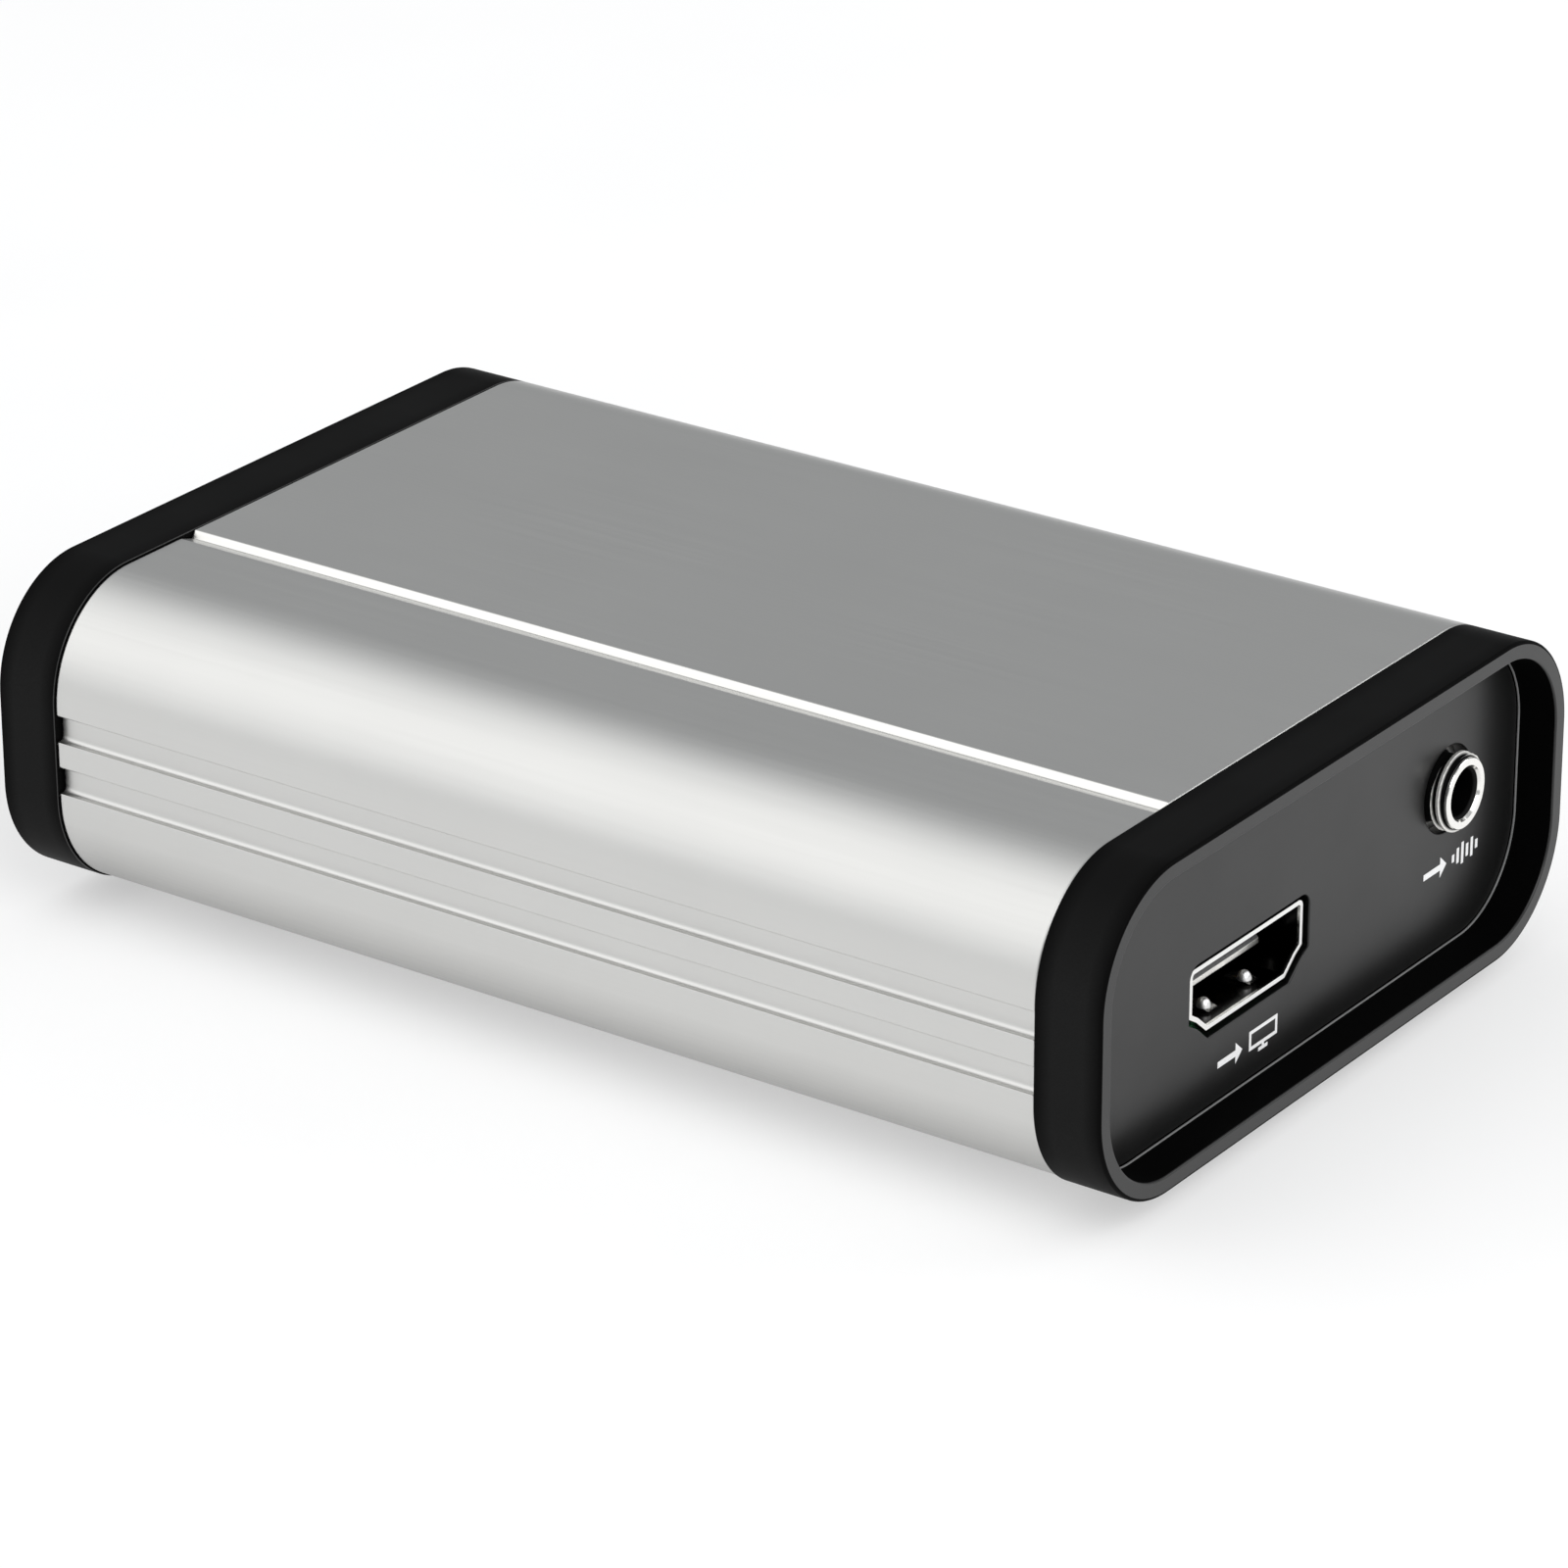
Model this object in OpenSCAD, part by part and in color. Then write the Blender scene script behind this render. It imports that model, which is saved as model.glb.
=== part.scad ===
// Video capture box: an extruded sleeve, closed at each end by a bezel and a panel that
// presses into the sleeve, round a circuit board that slides in the sleeve's card guides.
// The case runs along X, with the inputs at +X and the link to the computer at -X.
// The grooved front faces -Y, and the box stands on its feet at Z = 0.

/* [Case] */
// Length over both bezels
case_l = 96.2; // [92:0.2:120]
// Depth over the bezels, front to back
case_w = 61.7; // [58:0.1:75]
// Height over the bezels, without the feet
case_h = 24.8; // [23.8:0.1:34]
// Radius of the case's long edges, at the bezels' surface
corner_r = 8.8; // [7:0.1:9]

/* [Bezels and panels] */
// Width of the rim round each recess
rim_t = 1.35; // [1:0.05:1.8]
// Depth from the rim down to the panel
recess_d = 3.2; // [2:0.1:5]
// Thickness of the panels
panel_t = 1.3; // [1:0.1:2.5]
// Thickness of the ledge that the panel rests on
ledge_t = 0.8; // [0.6:0.1:2]
// Rounding of the bezels' outer edges
bezel_round = 0.25; // [0.1:0.05:0.5]
// Rounding of the rim's inner edge
rim_round = 0.15; // [0.05:0.05:0.3]
// Width of the tabs that centre a bezel inside the sleeve
tab_w = 12; // [8:0.5:13]
// Thickness of those tabs
tab_t = 1; // [0.8:0.1:1.5]
// Reach of those tabs into the sleeve
tab_l = 2.5; // [1.5:0.5:4]
// Width of the panels' press-in tongues
tongue_w = 7; // [5:0.5:8]
// Thickness of those tongues
tongue_t = 1.2; // [1:0.1:1.5]
// Reach of those tongues into the sleeve
tongue_l = 6; // [4:0.5:10]
// Distance of each tongue from the panel's middle
tongue_y = 10.4; // [10.2:0.1:12]
// Height of the crush ribs on the tongues
rib_h = 0.4; // [0.2:0.05:0.6]
// Width of the crush ribs
rib_w = 0.8; // [0.5:0.1:1.2]
// Clearance of what goes into the sleeve or the recess
fit_gap = 0.1; // [0.05:0.05:0.2]

/* [Sleeve] */
// How far the sleeve lies below the bezels' surface
sleeve_inset = 0.15; // [0.1:0.05:0.3]
// Wall thickness of the sleeve
wall_t = 1.8; // [1.4:0.1:2.2]
// Distance of the step in the top from the case's front
step_from_front = 16.35; // [12:0.05:24]
// Depth of the trough at the foot of the step
trough_d = 0.55; // [0.5:0.05:0.8]
// Width of the step's steep face
step_face_w = 0.35; // [0.2:0.05:0.6]
// Width of the trough's slow rise to the front shoulder
trough_w = 1.3; // [0.8:0.1:2]
// Height of each side groove
groove_h = 2.04; // [1.5:0.02:2.5]
// Depth of the side grooves
groove_d = 0.6; // [0.3:0.05:0.8]
// Height of the land between the two grooves
land_h = 2.06; // [1.5:0.02:2.5]
// Thickness of the card guides' ribs
guide_t = 1.2; // [0.8:0.1:1.5]
// How far the ribs reach over the board's edges
guide_grip = 1.8; // [1:0.1:2.5]

/* [Board] */
// Height of the board's top above the bezels' bottom
board_top = 7.2; // [6.8:0.1:8]
// Thickness of the board
board_t = 1.6; // [1:0.1:2]
// Gap from the board's edges to the straight side walls
board_side_gap = 1.3; // [1.2:0.1:2.5]
// Gap from the board's ends to the panels
board_end_gap = 0.3; // [0.2:0.1:0.6]
// Clearance of the board in its slots
slot_gap = 0.1; // [0.05:0.05:0.2]
// Clearance round the legs that pass through the board
hole_gap = 0.25; // [0.15:0.05:0.4]
// How far legs stand out under the board
leg_out = 0.8; // [0.4:0.1:1.4]

/* [Video socket] */
// Distance of the video socket from the case's front
video_from_front = 23.95; // [20:0.05:26]
// Width of the video socket's mouth
video_w = 14; // [13.5:0.1:14.5]
// Height of the mouth
video_h = 4.6; // [4.4:0.05:4.8]
// Wall of the stamped shell
video_wall = 0.35; // [0.25:0.05:0.5]
// Radius inside the shell's two upper corners
video_corner = 0.25; // [0.1:0.05:0.5]
// Depth of the shell
video_d = 10.8; // [9.5:0.1:12]
// How far the shell's rim lies behind the panel's face
video_setback = 0.3; // [0.1:0.05:0.6]
// Width left at the mouth's floor between its slanted corners
video_floor_w = 10; // [9:0.1:11]
// Clearance of the panel's cut-out round the shell
video_gap = 0.42; // [0.2:0.02:0.6]
// Width of the tongue that carries the contacts
video_tongue_w = 10.3; // [9.8:0.1:11.2]
// Thickness of that tongue
video_tongue_t = 1.2; // [1:0.05:1.4]
// Depth of the tongue's front edge behind the mouth
video_tongue_in = 2.2; // [1.5:0.1:2.8]
// Contacts along the tongue's upper face, one fewer below
video_contacts = 10; // [6:1:10]
// Spacing of the contacts
video_pitch = 1; // [0.8:0.05:1.05]

/* [Audio jack] */
// Distance of the audio jack from the case's back
jack_from_back = 11.1; // [10.8:0.1:13]
// Height of the jack's axis above the board
jack_axis_h = 6.6; // [6.2:0.05:7.2]
// Diameter of the plug's bore
jack_bore_d = 3.6; // [3.55:0.05:3.8]
// Diameter of the bush over its thread
bush_d = 5.95; // [5.5:0.05:6.4]
// How far the bush stands out of the panel
bush_out = 1.45; // [0.8:0.05:2]
// Chamfer at the bush's front edges
bush_chamfer = 0.2; // [0.1:0.02:0.4]
// Diameter of the bush's flange behind the panel
flange_d = 8.4; // [7.5:0.1:9]
// Thickness of that flange
flange_t = 0.6; // [0.4:0.1:1]
// Diameter of the bush's root in the jack's body
root_d = 5.2; // [4.8:0.1:5.4]
// Length of that root
root_l = 3; // [2:0.2:4]
// Clearance of the panel's hole round the bush
bush_gap = 0.35; // [0.2:0.05:0.5]
// Length of the jack's body
jack_l = 13; // [12:0.2:15]
// Width of the jack's body
jack_w = 10.4; // [9.6:0.2:10.8]
// Height of the jack's body
jack_h = 11.4; // [10.8:0.1:11.8]
// Chamfer along the body's upper edges
jack_chamfer = 1; // [0.5:0.1:1.5]
// Width of the jack's contact springs
spring_w = 2; // [1.4:0.1:2.4]
// Thickness of the contact springs
spring_t = 0.3; // [0.2:0.05:0.4]

/* [Data socket] */
// Place of the data socket along the output panel
data_y = 0; // [-4:0.5:4]
// Width of the data socket over its shell
data_w = 8.94; // [8.8:0.02:9.1]
// Height of the data socket over its shell
data_h = 3.26; // [3.1:0.02:3.4]
// Wall of its shell
data_wall = 0.3; // [0.2:0.02:0.4]
// Depth of its shell
data_d = 7.3; // [6.5:0.1:8.5]
// How far the shell's rim lies behind the panel's face
data_setback = 0.3; // [0.1:0.05:0.6]
// Clearance of the panel's cut-out round the shell
data_gap = 0.3; // [0.2:0.02:0.5]
// Width of the tongue in the socket
data_tongue_w = 6.7; // [6.4:0.1:7]
// Thickness of that tongue
data_tongue_t = 0.7; // [0.6:0.02:0.8]
// Depth of the tongue's front edge behind the mouth
data_tongue_in = 0.9; // [0.6:0.1:1.4]
// Contacts on each face of the tongue
data_contacts = 12; // [8:1:12]
// Spacing of those contacts
data_pitch = 0.5; // [0.45:0.01:0.52]

/* [Status light] */
// Distance of the status light from the case's back
light_from_back = 18.7; // [15:0.1:21]
// Height of the light's axis above the board
light_axis_h = 1.6; // [1.6:0.1:2.5]
// Diameter of the light pipe
pipe_d = 2.2; // [1.8:0.1:2.6]
// How far the light pipe stands out of the panel
pipe_out = 0.2; // [0:0.05:0.6]
// Length of the light pipe behind the panel
pipe_l = 4; // [3:0.2:6]
// Diameter of the collar that stops the pipe at the panel
collar_d = 3; // [2.8:0.1:3.2]
// Thickness of that collar
collar_t = 0.7; // [0.5:0.1:1]

/* [Chips] */
// Side of the video receiver's body
receiver_side = 14; // [12:0.5:14]
// Leads along each side of the receiver
receiver_leads = 20; // [12:1:24]
// Spacing of the receiver's leads
receiver_pitch = 0.5; // [0.4:0.05:0.52]
// Side of the bridge chip
bridge_side = 12; // [9:0.5:13]
// Length of the memory chip
memory_l = 12.5; // [10:0.5:13]
// Width of the memory chip
memory_w = 8; // [7:0.2:9]
// Length of the audio converter's body
codec_l = 6.5; // [5:0.1:8]
// Width of the audio converter's body
codec_w = 4.4; // [4:0.1:5]
// Leads along each side of the audio converter
codec_leads = 10; // [6:1:10]
// Spacing of those leads
codec_pitch = 0.6; // [0.4:0.05:0.65]
// Length of the program memory's body
flash_l = 4.9; // [4.4:0.1:5.4]
// Width of the program memory's body
flash_w = 3.9; // [3.5:0.1:4.5]
// Spacing of its leads
flash_pitch = 1.2; // [1:0.05:1.27]
// Length of the voltage regulator's body
regulator_l = 6.5; // [6.3:0.1:7]
// Width of the voltage regulator's body
regulator_w = 3.5; // [3.3:0.1:4]
// Spacing of its leads
regulator_pitch = 2.3; // [2:0.05:2.4]
// Width of its heat tab
regulator_tab = 3; // [2.5:0.1:3.4]
// Length of each surge array's body
array_l = 2.9; // [2.7:0.1:3.2]
// Width of each surge array's body
array_w = 1.6; // [1.4:0.1:1.8]
// Spacing of its leads
array_pitch = 0.95; // [0.8:0.05:1]
// Thickness of the chips
chip_h = 1.2; // [0.9:0.1:1.6]

/* [Other board parts] */
// Diameter of the bulk capacitors' cans
can_d = 5; // [4:0.1:5.5]
// Height of the bulk capacitors
can_h = 5.4; // [4.5:0.1:5.6]
// Side of the power inductors
coil_side = 5; // [4:0.1:5.6]
// Height of the power inductors
coil_h = 2.8; // [2:0.1:3.5]
// Length of the crystals
crystal_l = 3.2; // [2.5:0.1:3.6]
// Width of the crystals
crystal_w = 2.5; // [2:0.1:2.8]
// Height of the crystals
crystal_h = 0.8; // [0.6:0.1:1]
// Length of the small capacitors and resistors
small_l = 1.6; // [1:0.1:1.8]
// Width of the small capacitors and resistors
small_w = 0.8; // [0.5:0.1:0.9]
// Height of the small capacitors
capacitor_h = 0.8; // [0.5:0.05:0.9]
// Height of the small resistors
resistor_h = 0.45; // [0.3:0.05:0.6]
// Spacing of the small parts along their rows
small_step = 2.4; // [2.2:0.1:2.6]

/* [Feet] */
// Diameter of the rubber feet
foot_d = 8; // [6:0.5:10]
// Height of the rubber feet
foot_h = 2; // [1.5:0.1:3]
// Distance of the feet from the case's ends
foot_in_x = 15; // [12:0.5:25]
// Distance of the feet from the case's sides
foot_in_y = 13.7; // [12.5:0.1:18]

/* [Hidden] */
FEET = ["foot_front_left", "foot_front_right", "foot_rear_left", "foot_rear_right"];
CANS = ["bulk_capacitor_1", "bulk_capacitor_2", "bulk_capacitor_3"];
COILS = ["power_inductor_1", "power_inductor_2"];
CRYSTALS = ["crystal_1", "crystal_2"];
$fn = 64;

// The ends of the case, measured along X from its middle
bezel_l = recess_d + panel_t + ledge_t;
sleeve_l = case_l - 2 * bezel_l;
panel_face = case_l / 2 - recess_d;
panel_back = panel_face - panel_t;

// Heights: the case's bottom, its middle and the board's top
case_z = foot_h - sleeve_inset;
mid_z = case_z + case_h / 2;
board_z = case_z + board_top;

// The space inside the sleeve
inner_w = case_w - 2 * (sleeve_inset + wall_t);
inner_h = case_h - 2 * (sleeve_inset + wall_t);
inner_r = corner_r - sleeve_inset - wall_t;

// The step along the top, and the ends of the grooves, from the middle of the case
step_y = step_from_front - case_w / 2;
groove_top = land_h / 2 + groove_h;

// The board
board_l = 2 * (panel_back - board_end_gap);
board_w = inner_w - 2 * board_side_gap;

// The video socket: its mouth, its outline and its tongue's middle above the mouth's middle
video_x = panel_face - video_setback;
video_y = video_from_front - case_w / 2;
video_z = board_z + video_wall + video_h / 2;
video_side_h = 3.05;
video_step_w = 0.8;
video_step_h = 0.5;
video_half = [
    [video_floor_w / 2, -video_h / 2],
    [video_w / 2 - video_step_w, video_h / 2 - video_side_h - video_step_h],
    [video_w / 2, video_h / 2 - video_side_h],
    [video_w / 2, video_h / 2]];
video_outline = both_sides(video_half);
video_tongue_z = -0.35;
video_block_l = 3.2;
video_legs = [4, 9];
video_leg_w = 1.4;
video_spring_y = 2.65;
video_spring_w = 1.2;
video_spring_t = 0.2;
video_spring_h = 0.2;
video_spring_in = [0.6, 0.9, 2.1, 3.3, 3.6];
video_spring_path = [
    [-video_spring_in[0], -video_wall / 2],
    [-video_spring_in[1], -video_wall / 4],
    [-video_spring_in[2], video_spring_h],
    [-video_spring_in[3], -video_wall / 4],
    [-video_spring_in[4], -video_wall / 2]];

// The audio jack
jack_y = case_w / 2 - jack_from_back;
jack_z = board_z + jack_axis_h;
bush_face = panel_face + bush_out;
jack_front = panel_back - flange_t;
jack_back = jack_front - jack_l;
bore_r = jack_bore_d / 2;
jack_back_wall = 1.2;
jack_leg_z = -jack_axis_h - board_t - leg_out;
spring_room = 0.5;
spring_slot_w = spring_w + spring_room;
spring_lip = 0.9;
tip_rise = bore_r + 1.6;

// The jack's springs, held at these distances behind the front of its body
tip_end_in = 7.4;
ring_leg_in = 6.4;
ring_end_in = 4.1;
tip_end = jack_l - tip_end_in;
ring_leg = jack_l - ring_leg_in;
ring_end = jack_l - ring_end_in;

// The data socket
data_x = panel_face - data_setback;
data_z = board_z + data_h / 2;
data_block_l = 2.4;
data_legs = [3, 6];
data_leg_w = 1;

// The status light
light_y = case_w / 2 - light_from_back;
light_z = board_z + light_axis_h;
pipe_chamfer = 0.3;
led_l = 1.2;
led_w = 2.6;

// Contacts and leads
contact_w = 0.3;
contact_t = 0.2;
contact_start = 0.8;
tail_gap = 0.35;
fine_contact_w = 0.24;
fine_contact_t = 0.1;
solder_foot = 0.8;
lead_w = 0.22;
wide_lead_w = 0.4;
lead_t = 0.15;
lead_out = 0.9;
chip_lift = 0.1;
small_row_gap = 1.7;

// Places on the board, from its middle, as shares of its half length and half width
receiver_at = on_board(0.37, -0.26);
bridge_at = on_board(-0.21, -0.11);
memory_at = on_board(-0.21, 0.55);
codec_at = on_board(0.44, 0.62);
flash_at = on_board(-0.55, -0.62);
regulator_at = on_board(-0.76, -0.59);
coil_at = [on_board(-0.62, 0.62), on_board(-0.46, 0.62)];
crystal_at = [on_board(0.09, -0.66), on_board(-0.28, -0.62)];
can_at = [on_board(-0.78, 0.74), on_board(0.14, 0.7), on_board(-0.5, 0.22)];
surge_at = [on_board(0.65, -0.37), on_board(0.65, -0.15)];

// Points of an outline's right half, then its mirror image, as one closed anticlockwise outline
function both_sides(half) =
    concat(half, [for (i = [len(half) - 1 : -1 : 0]) [-half[i][0], half[i][1]]]);

function on_board(share_x, share_y) = [share_x * board_l / 2, share_y * board_w / 2];
function unit(v) = v / norm(v);
function left_of(v) = [-v[1], v[0]];

// The join between two directions, as the offset of a corner by one unit to the left
function mitre(a, b) = (left_of(a) + left_of(b)) / (1 + a * b);

// A closed anticlockwise outline moved outwards by g, with its corners kept sharp
function grown(points, g) = [for (i = [0 : len(points) - 1])
    let (n = len(points))
    points[i] - g * mitre(unit(points[i] - points[(i + n - 1) % n]),
                          unit(points[(i + 1) % n] - points[i]))];

// The outline of a bent strip of thickness t along an open path
function heading(path, i) = unit(path[i + 1] - path[i]);
function bend(path, i) = mitre(heading(path, max(i - 1, 0)), heading(path, min(i, len(path) - 2)));
function strip(path, t) = concat(
    [for (i = [0 : len(path) - 1]) path[i] + t / 2 * bend(path, i)],
    [for (i = [len(path) - 1 : -1 : 0]) path[i] - t / 2 * bend(path, i)]);

// A section drawn in Y and Z, drawn out along X from the origin
module along_x(l) rotate([90, 0, 90]) linear_extrude(l) children();

// A shape drawn in X and Z, with its width across Y
module across_y(w) rotate([90, 0, 0]) linear_extrude(w, center = true) children();

module rounded_rect(w, h, r) {
    square([w - 2 * r, h], center = true);
    square([w, h - 2 * r], center = true);
    for (x = [-1, 1], y = [-1, 1])
        translate([x * (w / 2 - r), y * (h / 2 - r)]) circle(r = r);
}

// Removes the sharp corner at p; d says on which side of p the material lies
module round_off(p, d, r) {
    spare = 0.1;
    translate(p) difference() {
        translate([d[0] > 0 ? -spare : -r, d[1] > 0 ? -spare : -r]) square(r + spare);
        translate(d * r) circle(r = r);
    }
}

// A section drawn by its distance from the corners' centres, swept round the case's end
module round_case() {
    flat_w = case_w / 2 - corner_r;
    flat_h = case_h / 2 - corner_r;
    for (turn = [0, 180]) rotate(turn) {
        translate([flat_w, flat_h]) rotate_extrude(angle = 90) children();
        translate([-flat_w, flat_h]) rotate(90) rotate_extrude(angle = 90) children();
        translate([-flat_w, flat_h]) rotate([90, 0, 90]) linear_extrude(2 * flat_w) children();
        translate([flat_w, flat_h]) rotate([90, 0, 0]) linear_extrude(2 * flat_h) children();
    }
}

// What is drawn in Y and Z round the case's middle, set on the sleeve's input or output end
module at_input() translate([sleeve_l / 2, 0, mid_z]) rotate([90, 0, 90]) children();
module at_output() mirror([1, 0, 0]) at_input() children();

module sleeve_outside() {
    rounded_rect(case_w - 2 * sleeve_inset, case_h - 2 * sleeve_inset, corner_r - sleeve_inset);
    intersection() {
        rounded_rect(case_w, case_h, corner_r);
        translate([step_y - step_face_w, groove_top]) square([case_w, case_h]);
    }
}

module trough() {
    top = case_h / 2;
    foot = step_y - step_face_w;
    polygon([[step_y, top], [step_y, case_h], [foot - trough_w, case_h],
             [foot - trough_w, top - sleeve_inset], [foot, top - trough_d]]);
}

module side_grooves() {
    floor_y = case_w / 2 - sleeve_inset - groove_d;
    for (side = [0, 180], up = [-1, 1])
        rotate(side)
            translate([floor_y, up * (land_h + groove_h) / 2 - groove_h / 2])
                square([case_w, groove_h]);
}

module card_guides() {
    low = board_top - board_t - case_h / 2 - slot_gap - guide_t;
    high = board_top - case_h / 2 + slot_gap;
    root = inner_w / 2 + wall_t / 2;
    tip = board_w / 2 - guide_grip;
    for (side = [0, 1], z = [low, high])
        mirror([side, 0]) translate([tip, z]) square([root - tip, guide_t]);
}

// The hollow of the sleeve, which leaves the card guides standing
module sleeve_hollow() {
    difference() {
        rounded_rect(inner_w, inner_h, inner_r);
        card_guides();
    }
}

module sleeve() {
    color("silver")
        translate([-sleeve_l / 2, 0, mid_z]) along_x(sleeve_l)
            difference() {
                sleeve_outside();
                trough();
                side_grooves();
                sleeve_hollow();
            }
}

module bezel_section() {
    rim_r = corner_r - rim_t;
    difference() {
        polygon([[inner_r, 0], [corner_r, 0], [corner_r, bezel_l], [rim_r, bezel_l],
                 [rim_r, ledge_t], [inner_r, ledge_t]]);
        round_off([corner_r, 0], [-1, 1], bezel_round);
        round_off([corner_r, bezel_l], [-1, -1], bezel_round);
        round_off([rim_r, bezel_l], [1, -1], rim_round);
    }
}

module centring_tabs() {
    tab_top = inner_h / 2 - fit_gap;
    for (up = [0, 180]) rotate(up) {
        translate([-tab_w / 2, tab_top - tab_t, -tab_l]) cube([tab_w, tab_t, tab_l + ledge_t]);
        translate([-tab_w / 2, tab_top - tab_t, 0])
            cube([tab_w, tab_t + fit_gap + wall_t / 2, ledge_t]);
    }
}

module bezel() {
    color("#1c1c1c") {
        round_case() bezel_section();
        centring_tabs();
    }
}

module input_bezel() at_input() bezel();
module output_bezel() at_output() bezel();

module press_tongues() {
    back = inner_h / 2 - fit_gap - rib_h;
    for (up = [0, 180], side = [-1, 1]) rotate(up)
        translate([side * tongue_y, back, -tongue_l]) {
            translate([-tongue_w / 2, -tongue_t, 0]) cube([tongue_w, tongue_t, tongue_l + ledge_t]);
            for (rib = [-1, 1])
                translate([rib * (tongue_w / 2 - rib_w) - rib_w / 2, -tongue_t / 2, 0])
                    cube([rib_w, tongue_t / 2 + rib_h, tongue_l]);
        }
}

// A panel with its tongues; the children are the cut-outs in its face
module panel() {
    color("#4a4a4a") {
        translate([0, 0, ledge_t]) linear_extrude(panel_t)
            difference() {
                rounded_rect(case_w - 2 * (rim_t + fit_gap), case_h - 2 * (rim_t + fit_gap),
                             corner_r - rim_t - fit_gap);
                translate([0, -mid_z]) children();
            }
        press_tongues();
    }
}

module input_panel() at_input() panel() {
    union() {
        translate([video_y, video_z]) video_section(video_wall + video_gap);
        translate([jack_y, jack_z]) circle(d = bush_d + 2 * bush_gap);
    }
}

module output_panel() at_output() panel() {
    union() {
        translate([data_y, data_z]) stadium(data_w + 2 * data_gap, data_h + 2 * data_gap);
        translate([light_y, light_z]) circle(d = pipe_d + 2 * fit_gap);
    }
}

module stadium(w, h) {
    square([w - h, h], center = true);
    for (x = [-1, 1]) translate([x * (w - h) / 2, 0]) circle(d = h);
}

// The slots in the board for the legs that pass through it
module leg_slot(x, y, l, w) {
    translate([x - l / 2 - hole_gap, y - w / 2 - hole_gap]) square([l + 2 * hole_gap, w + 2 * hole_gap]);
}

module main_board() {
    color("#1f5a3a") translate([0, 0, board_z - board_t]) linear_extrude(board_t)
        difference() {
            square([board_l, board_w], center = true);
            for (in = video_legs, side = [-1, 1])
                leg_slot(video_x - in, video_y + side * (video_w + video_wall) / 2, video_leg_w, video_wall);
            for (in = data_legs, side = [-1, 1])
                leg_slot(in - data_x, data_y + side * (data_w - data_wall) / 2, data_leg_w, data_wall);
            leg_slot(jack_back - spring_t / 2, jack_y, spring_t, spring_w);
            leg_slot(jack_back + ring_leg, jack_y, spring_t, spring_w);
        }
}

// The mouth's outline moved outwards by g, with its two upper corners rounded
module video_section(g) {
    difference() {
        polygon(grown(video_outline, g));
        for (side = [-1, 1])
            round_off([side * (video_w / 2 + g), video_h / 2 + g], [-side, -1], video_corner + g);
    }
}

module video_socket_shell() {
    drop = video_h / 2 + video_wall + board_t + leg_out;
    color("#d8d8d4") translate([video_x, video_y, video_z]) {
        translate([-video_d, 0, 0]) along_x(video_d)
            difference() {
                video_section(video_wall);
                video_section(0);
            }
        for (in = video_legs, side = [-1, 1])
            translate([-in - video_leg_w / 2, side * (video_w + video_wall) / 2 - video_wall / 2, -drop])
                cube([video_leg_w, video_wall, drop]);
        for (side = [-1, 1])
            translate([0, side * video_spring_y, -video_h / 2]) across_y(video_spring_w)
                polygon(strip(video_spring_path, video_spring_t));
    }
}

// One row of contacts: each lies on the tongue, passes through the block and ends in a solder foot.
// The path runs from the contact's front end, in X and Z from the middle of the mouth.
module contact_row(count, pitch, w, t, path) {
    for (i = [0 : count - 1])
        translate([0, (i - (count - 1) / 2) * pitch, 0]) across_y(w) polygon(strip(path, t));
}

function contact_path(front, rear, face_z, board_below, t) =
    [[-front, face_z], [-rear, face_z], [-rear, t / 2 - board_below],
     [-rear - solder_foot, t / 2 - board_below]];

module video_contact_rows() {
    front = video_tongue_in + contact_start;
    rear = video_d + tail_gap;
    half = (video_tongue_t + contact_t) / 2;
    drop = video_h / 2 + video_wall;
    contact_row(video_contacts, video_pitch, contact_w, contact_t,
                contact_path(front, rear, video_tongue_z + half, drop, contact_t));
    contact_row(video_contacts - 1, video_pitch, contact_w, contact_t,
                contact_path(front, rear, video_tongue_z - half, drop, contact_t));
}

module video_socket_tongue() {
    nose = 0.4;
    top = video_tongue_t / 2;
    root = video_block_l / 2 - video_d;
    front = -video_tongue_in;
    color("#202020") translate([video_x, video_y, video_z])
        difference() {
            union() {
                translate([-video_d, 0, 0]) along_x(video_block_l)
                    video_section(-fit_gap / 2);
                translate([0, 0, video_tongue_z]) across_y(video_tongue_w)
                    polygon([[root, -top], [front - nose, -top], [front, nose - top],
                             [front, top - nose], [front - nose, top], [root, top]]);
            }
            video_contact_rows();
        }
}

module video_socket_contacts() {
    color("gold") translate([video_x, video_y, video_z]) video_contact_rows();
}

module audio_jack_body() {
    floor_z = -jack_axis_h;
    top_z = jack_h - jack_axis_h;
    color("#151515") translate([jack_back, jack_y, jack_z])
        difference() {
            along_x(jack_l)
                polygon([[-jack_w / 2, floor_z], [jack_w / 2, floor_z], [jack_w / 2, top_z - jack_chamfer],
                         [jack_w / 2 - jack_chamfer, top_z], [jack_chamfer - jack_w / 2, top_z],
                         [-jack_w / 2, top_z - jack_chamfer]]);
            translate([jack_back_wall, 0, 0]) rotate([0, 90, 0]) cylinder(r = bore_r, h = jack_l);
            translate([jack_l - root_l, 0, 0]) rotate([0, 90, 0]) cylinder(d = root_d + fit_gap, h = jack_l);
            translate([-1, -spring_slot_w / 2, 0])
                cube([1 + tip_end + spring_room, spring_slot_w, tip_rise + spring_room]);
            translate([ring_leg - spring_room, -spring_slot_w / 2, floor_z - 1])
                cube([ring_end - ring_leg + 2 * spring_room, spring_slot_w, 1 + jack_axis_h]);
        }
}

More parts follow.
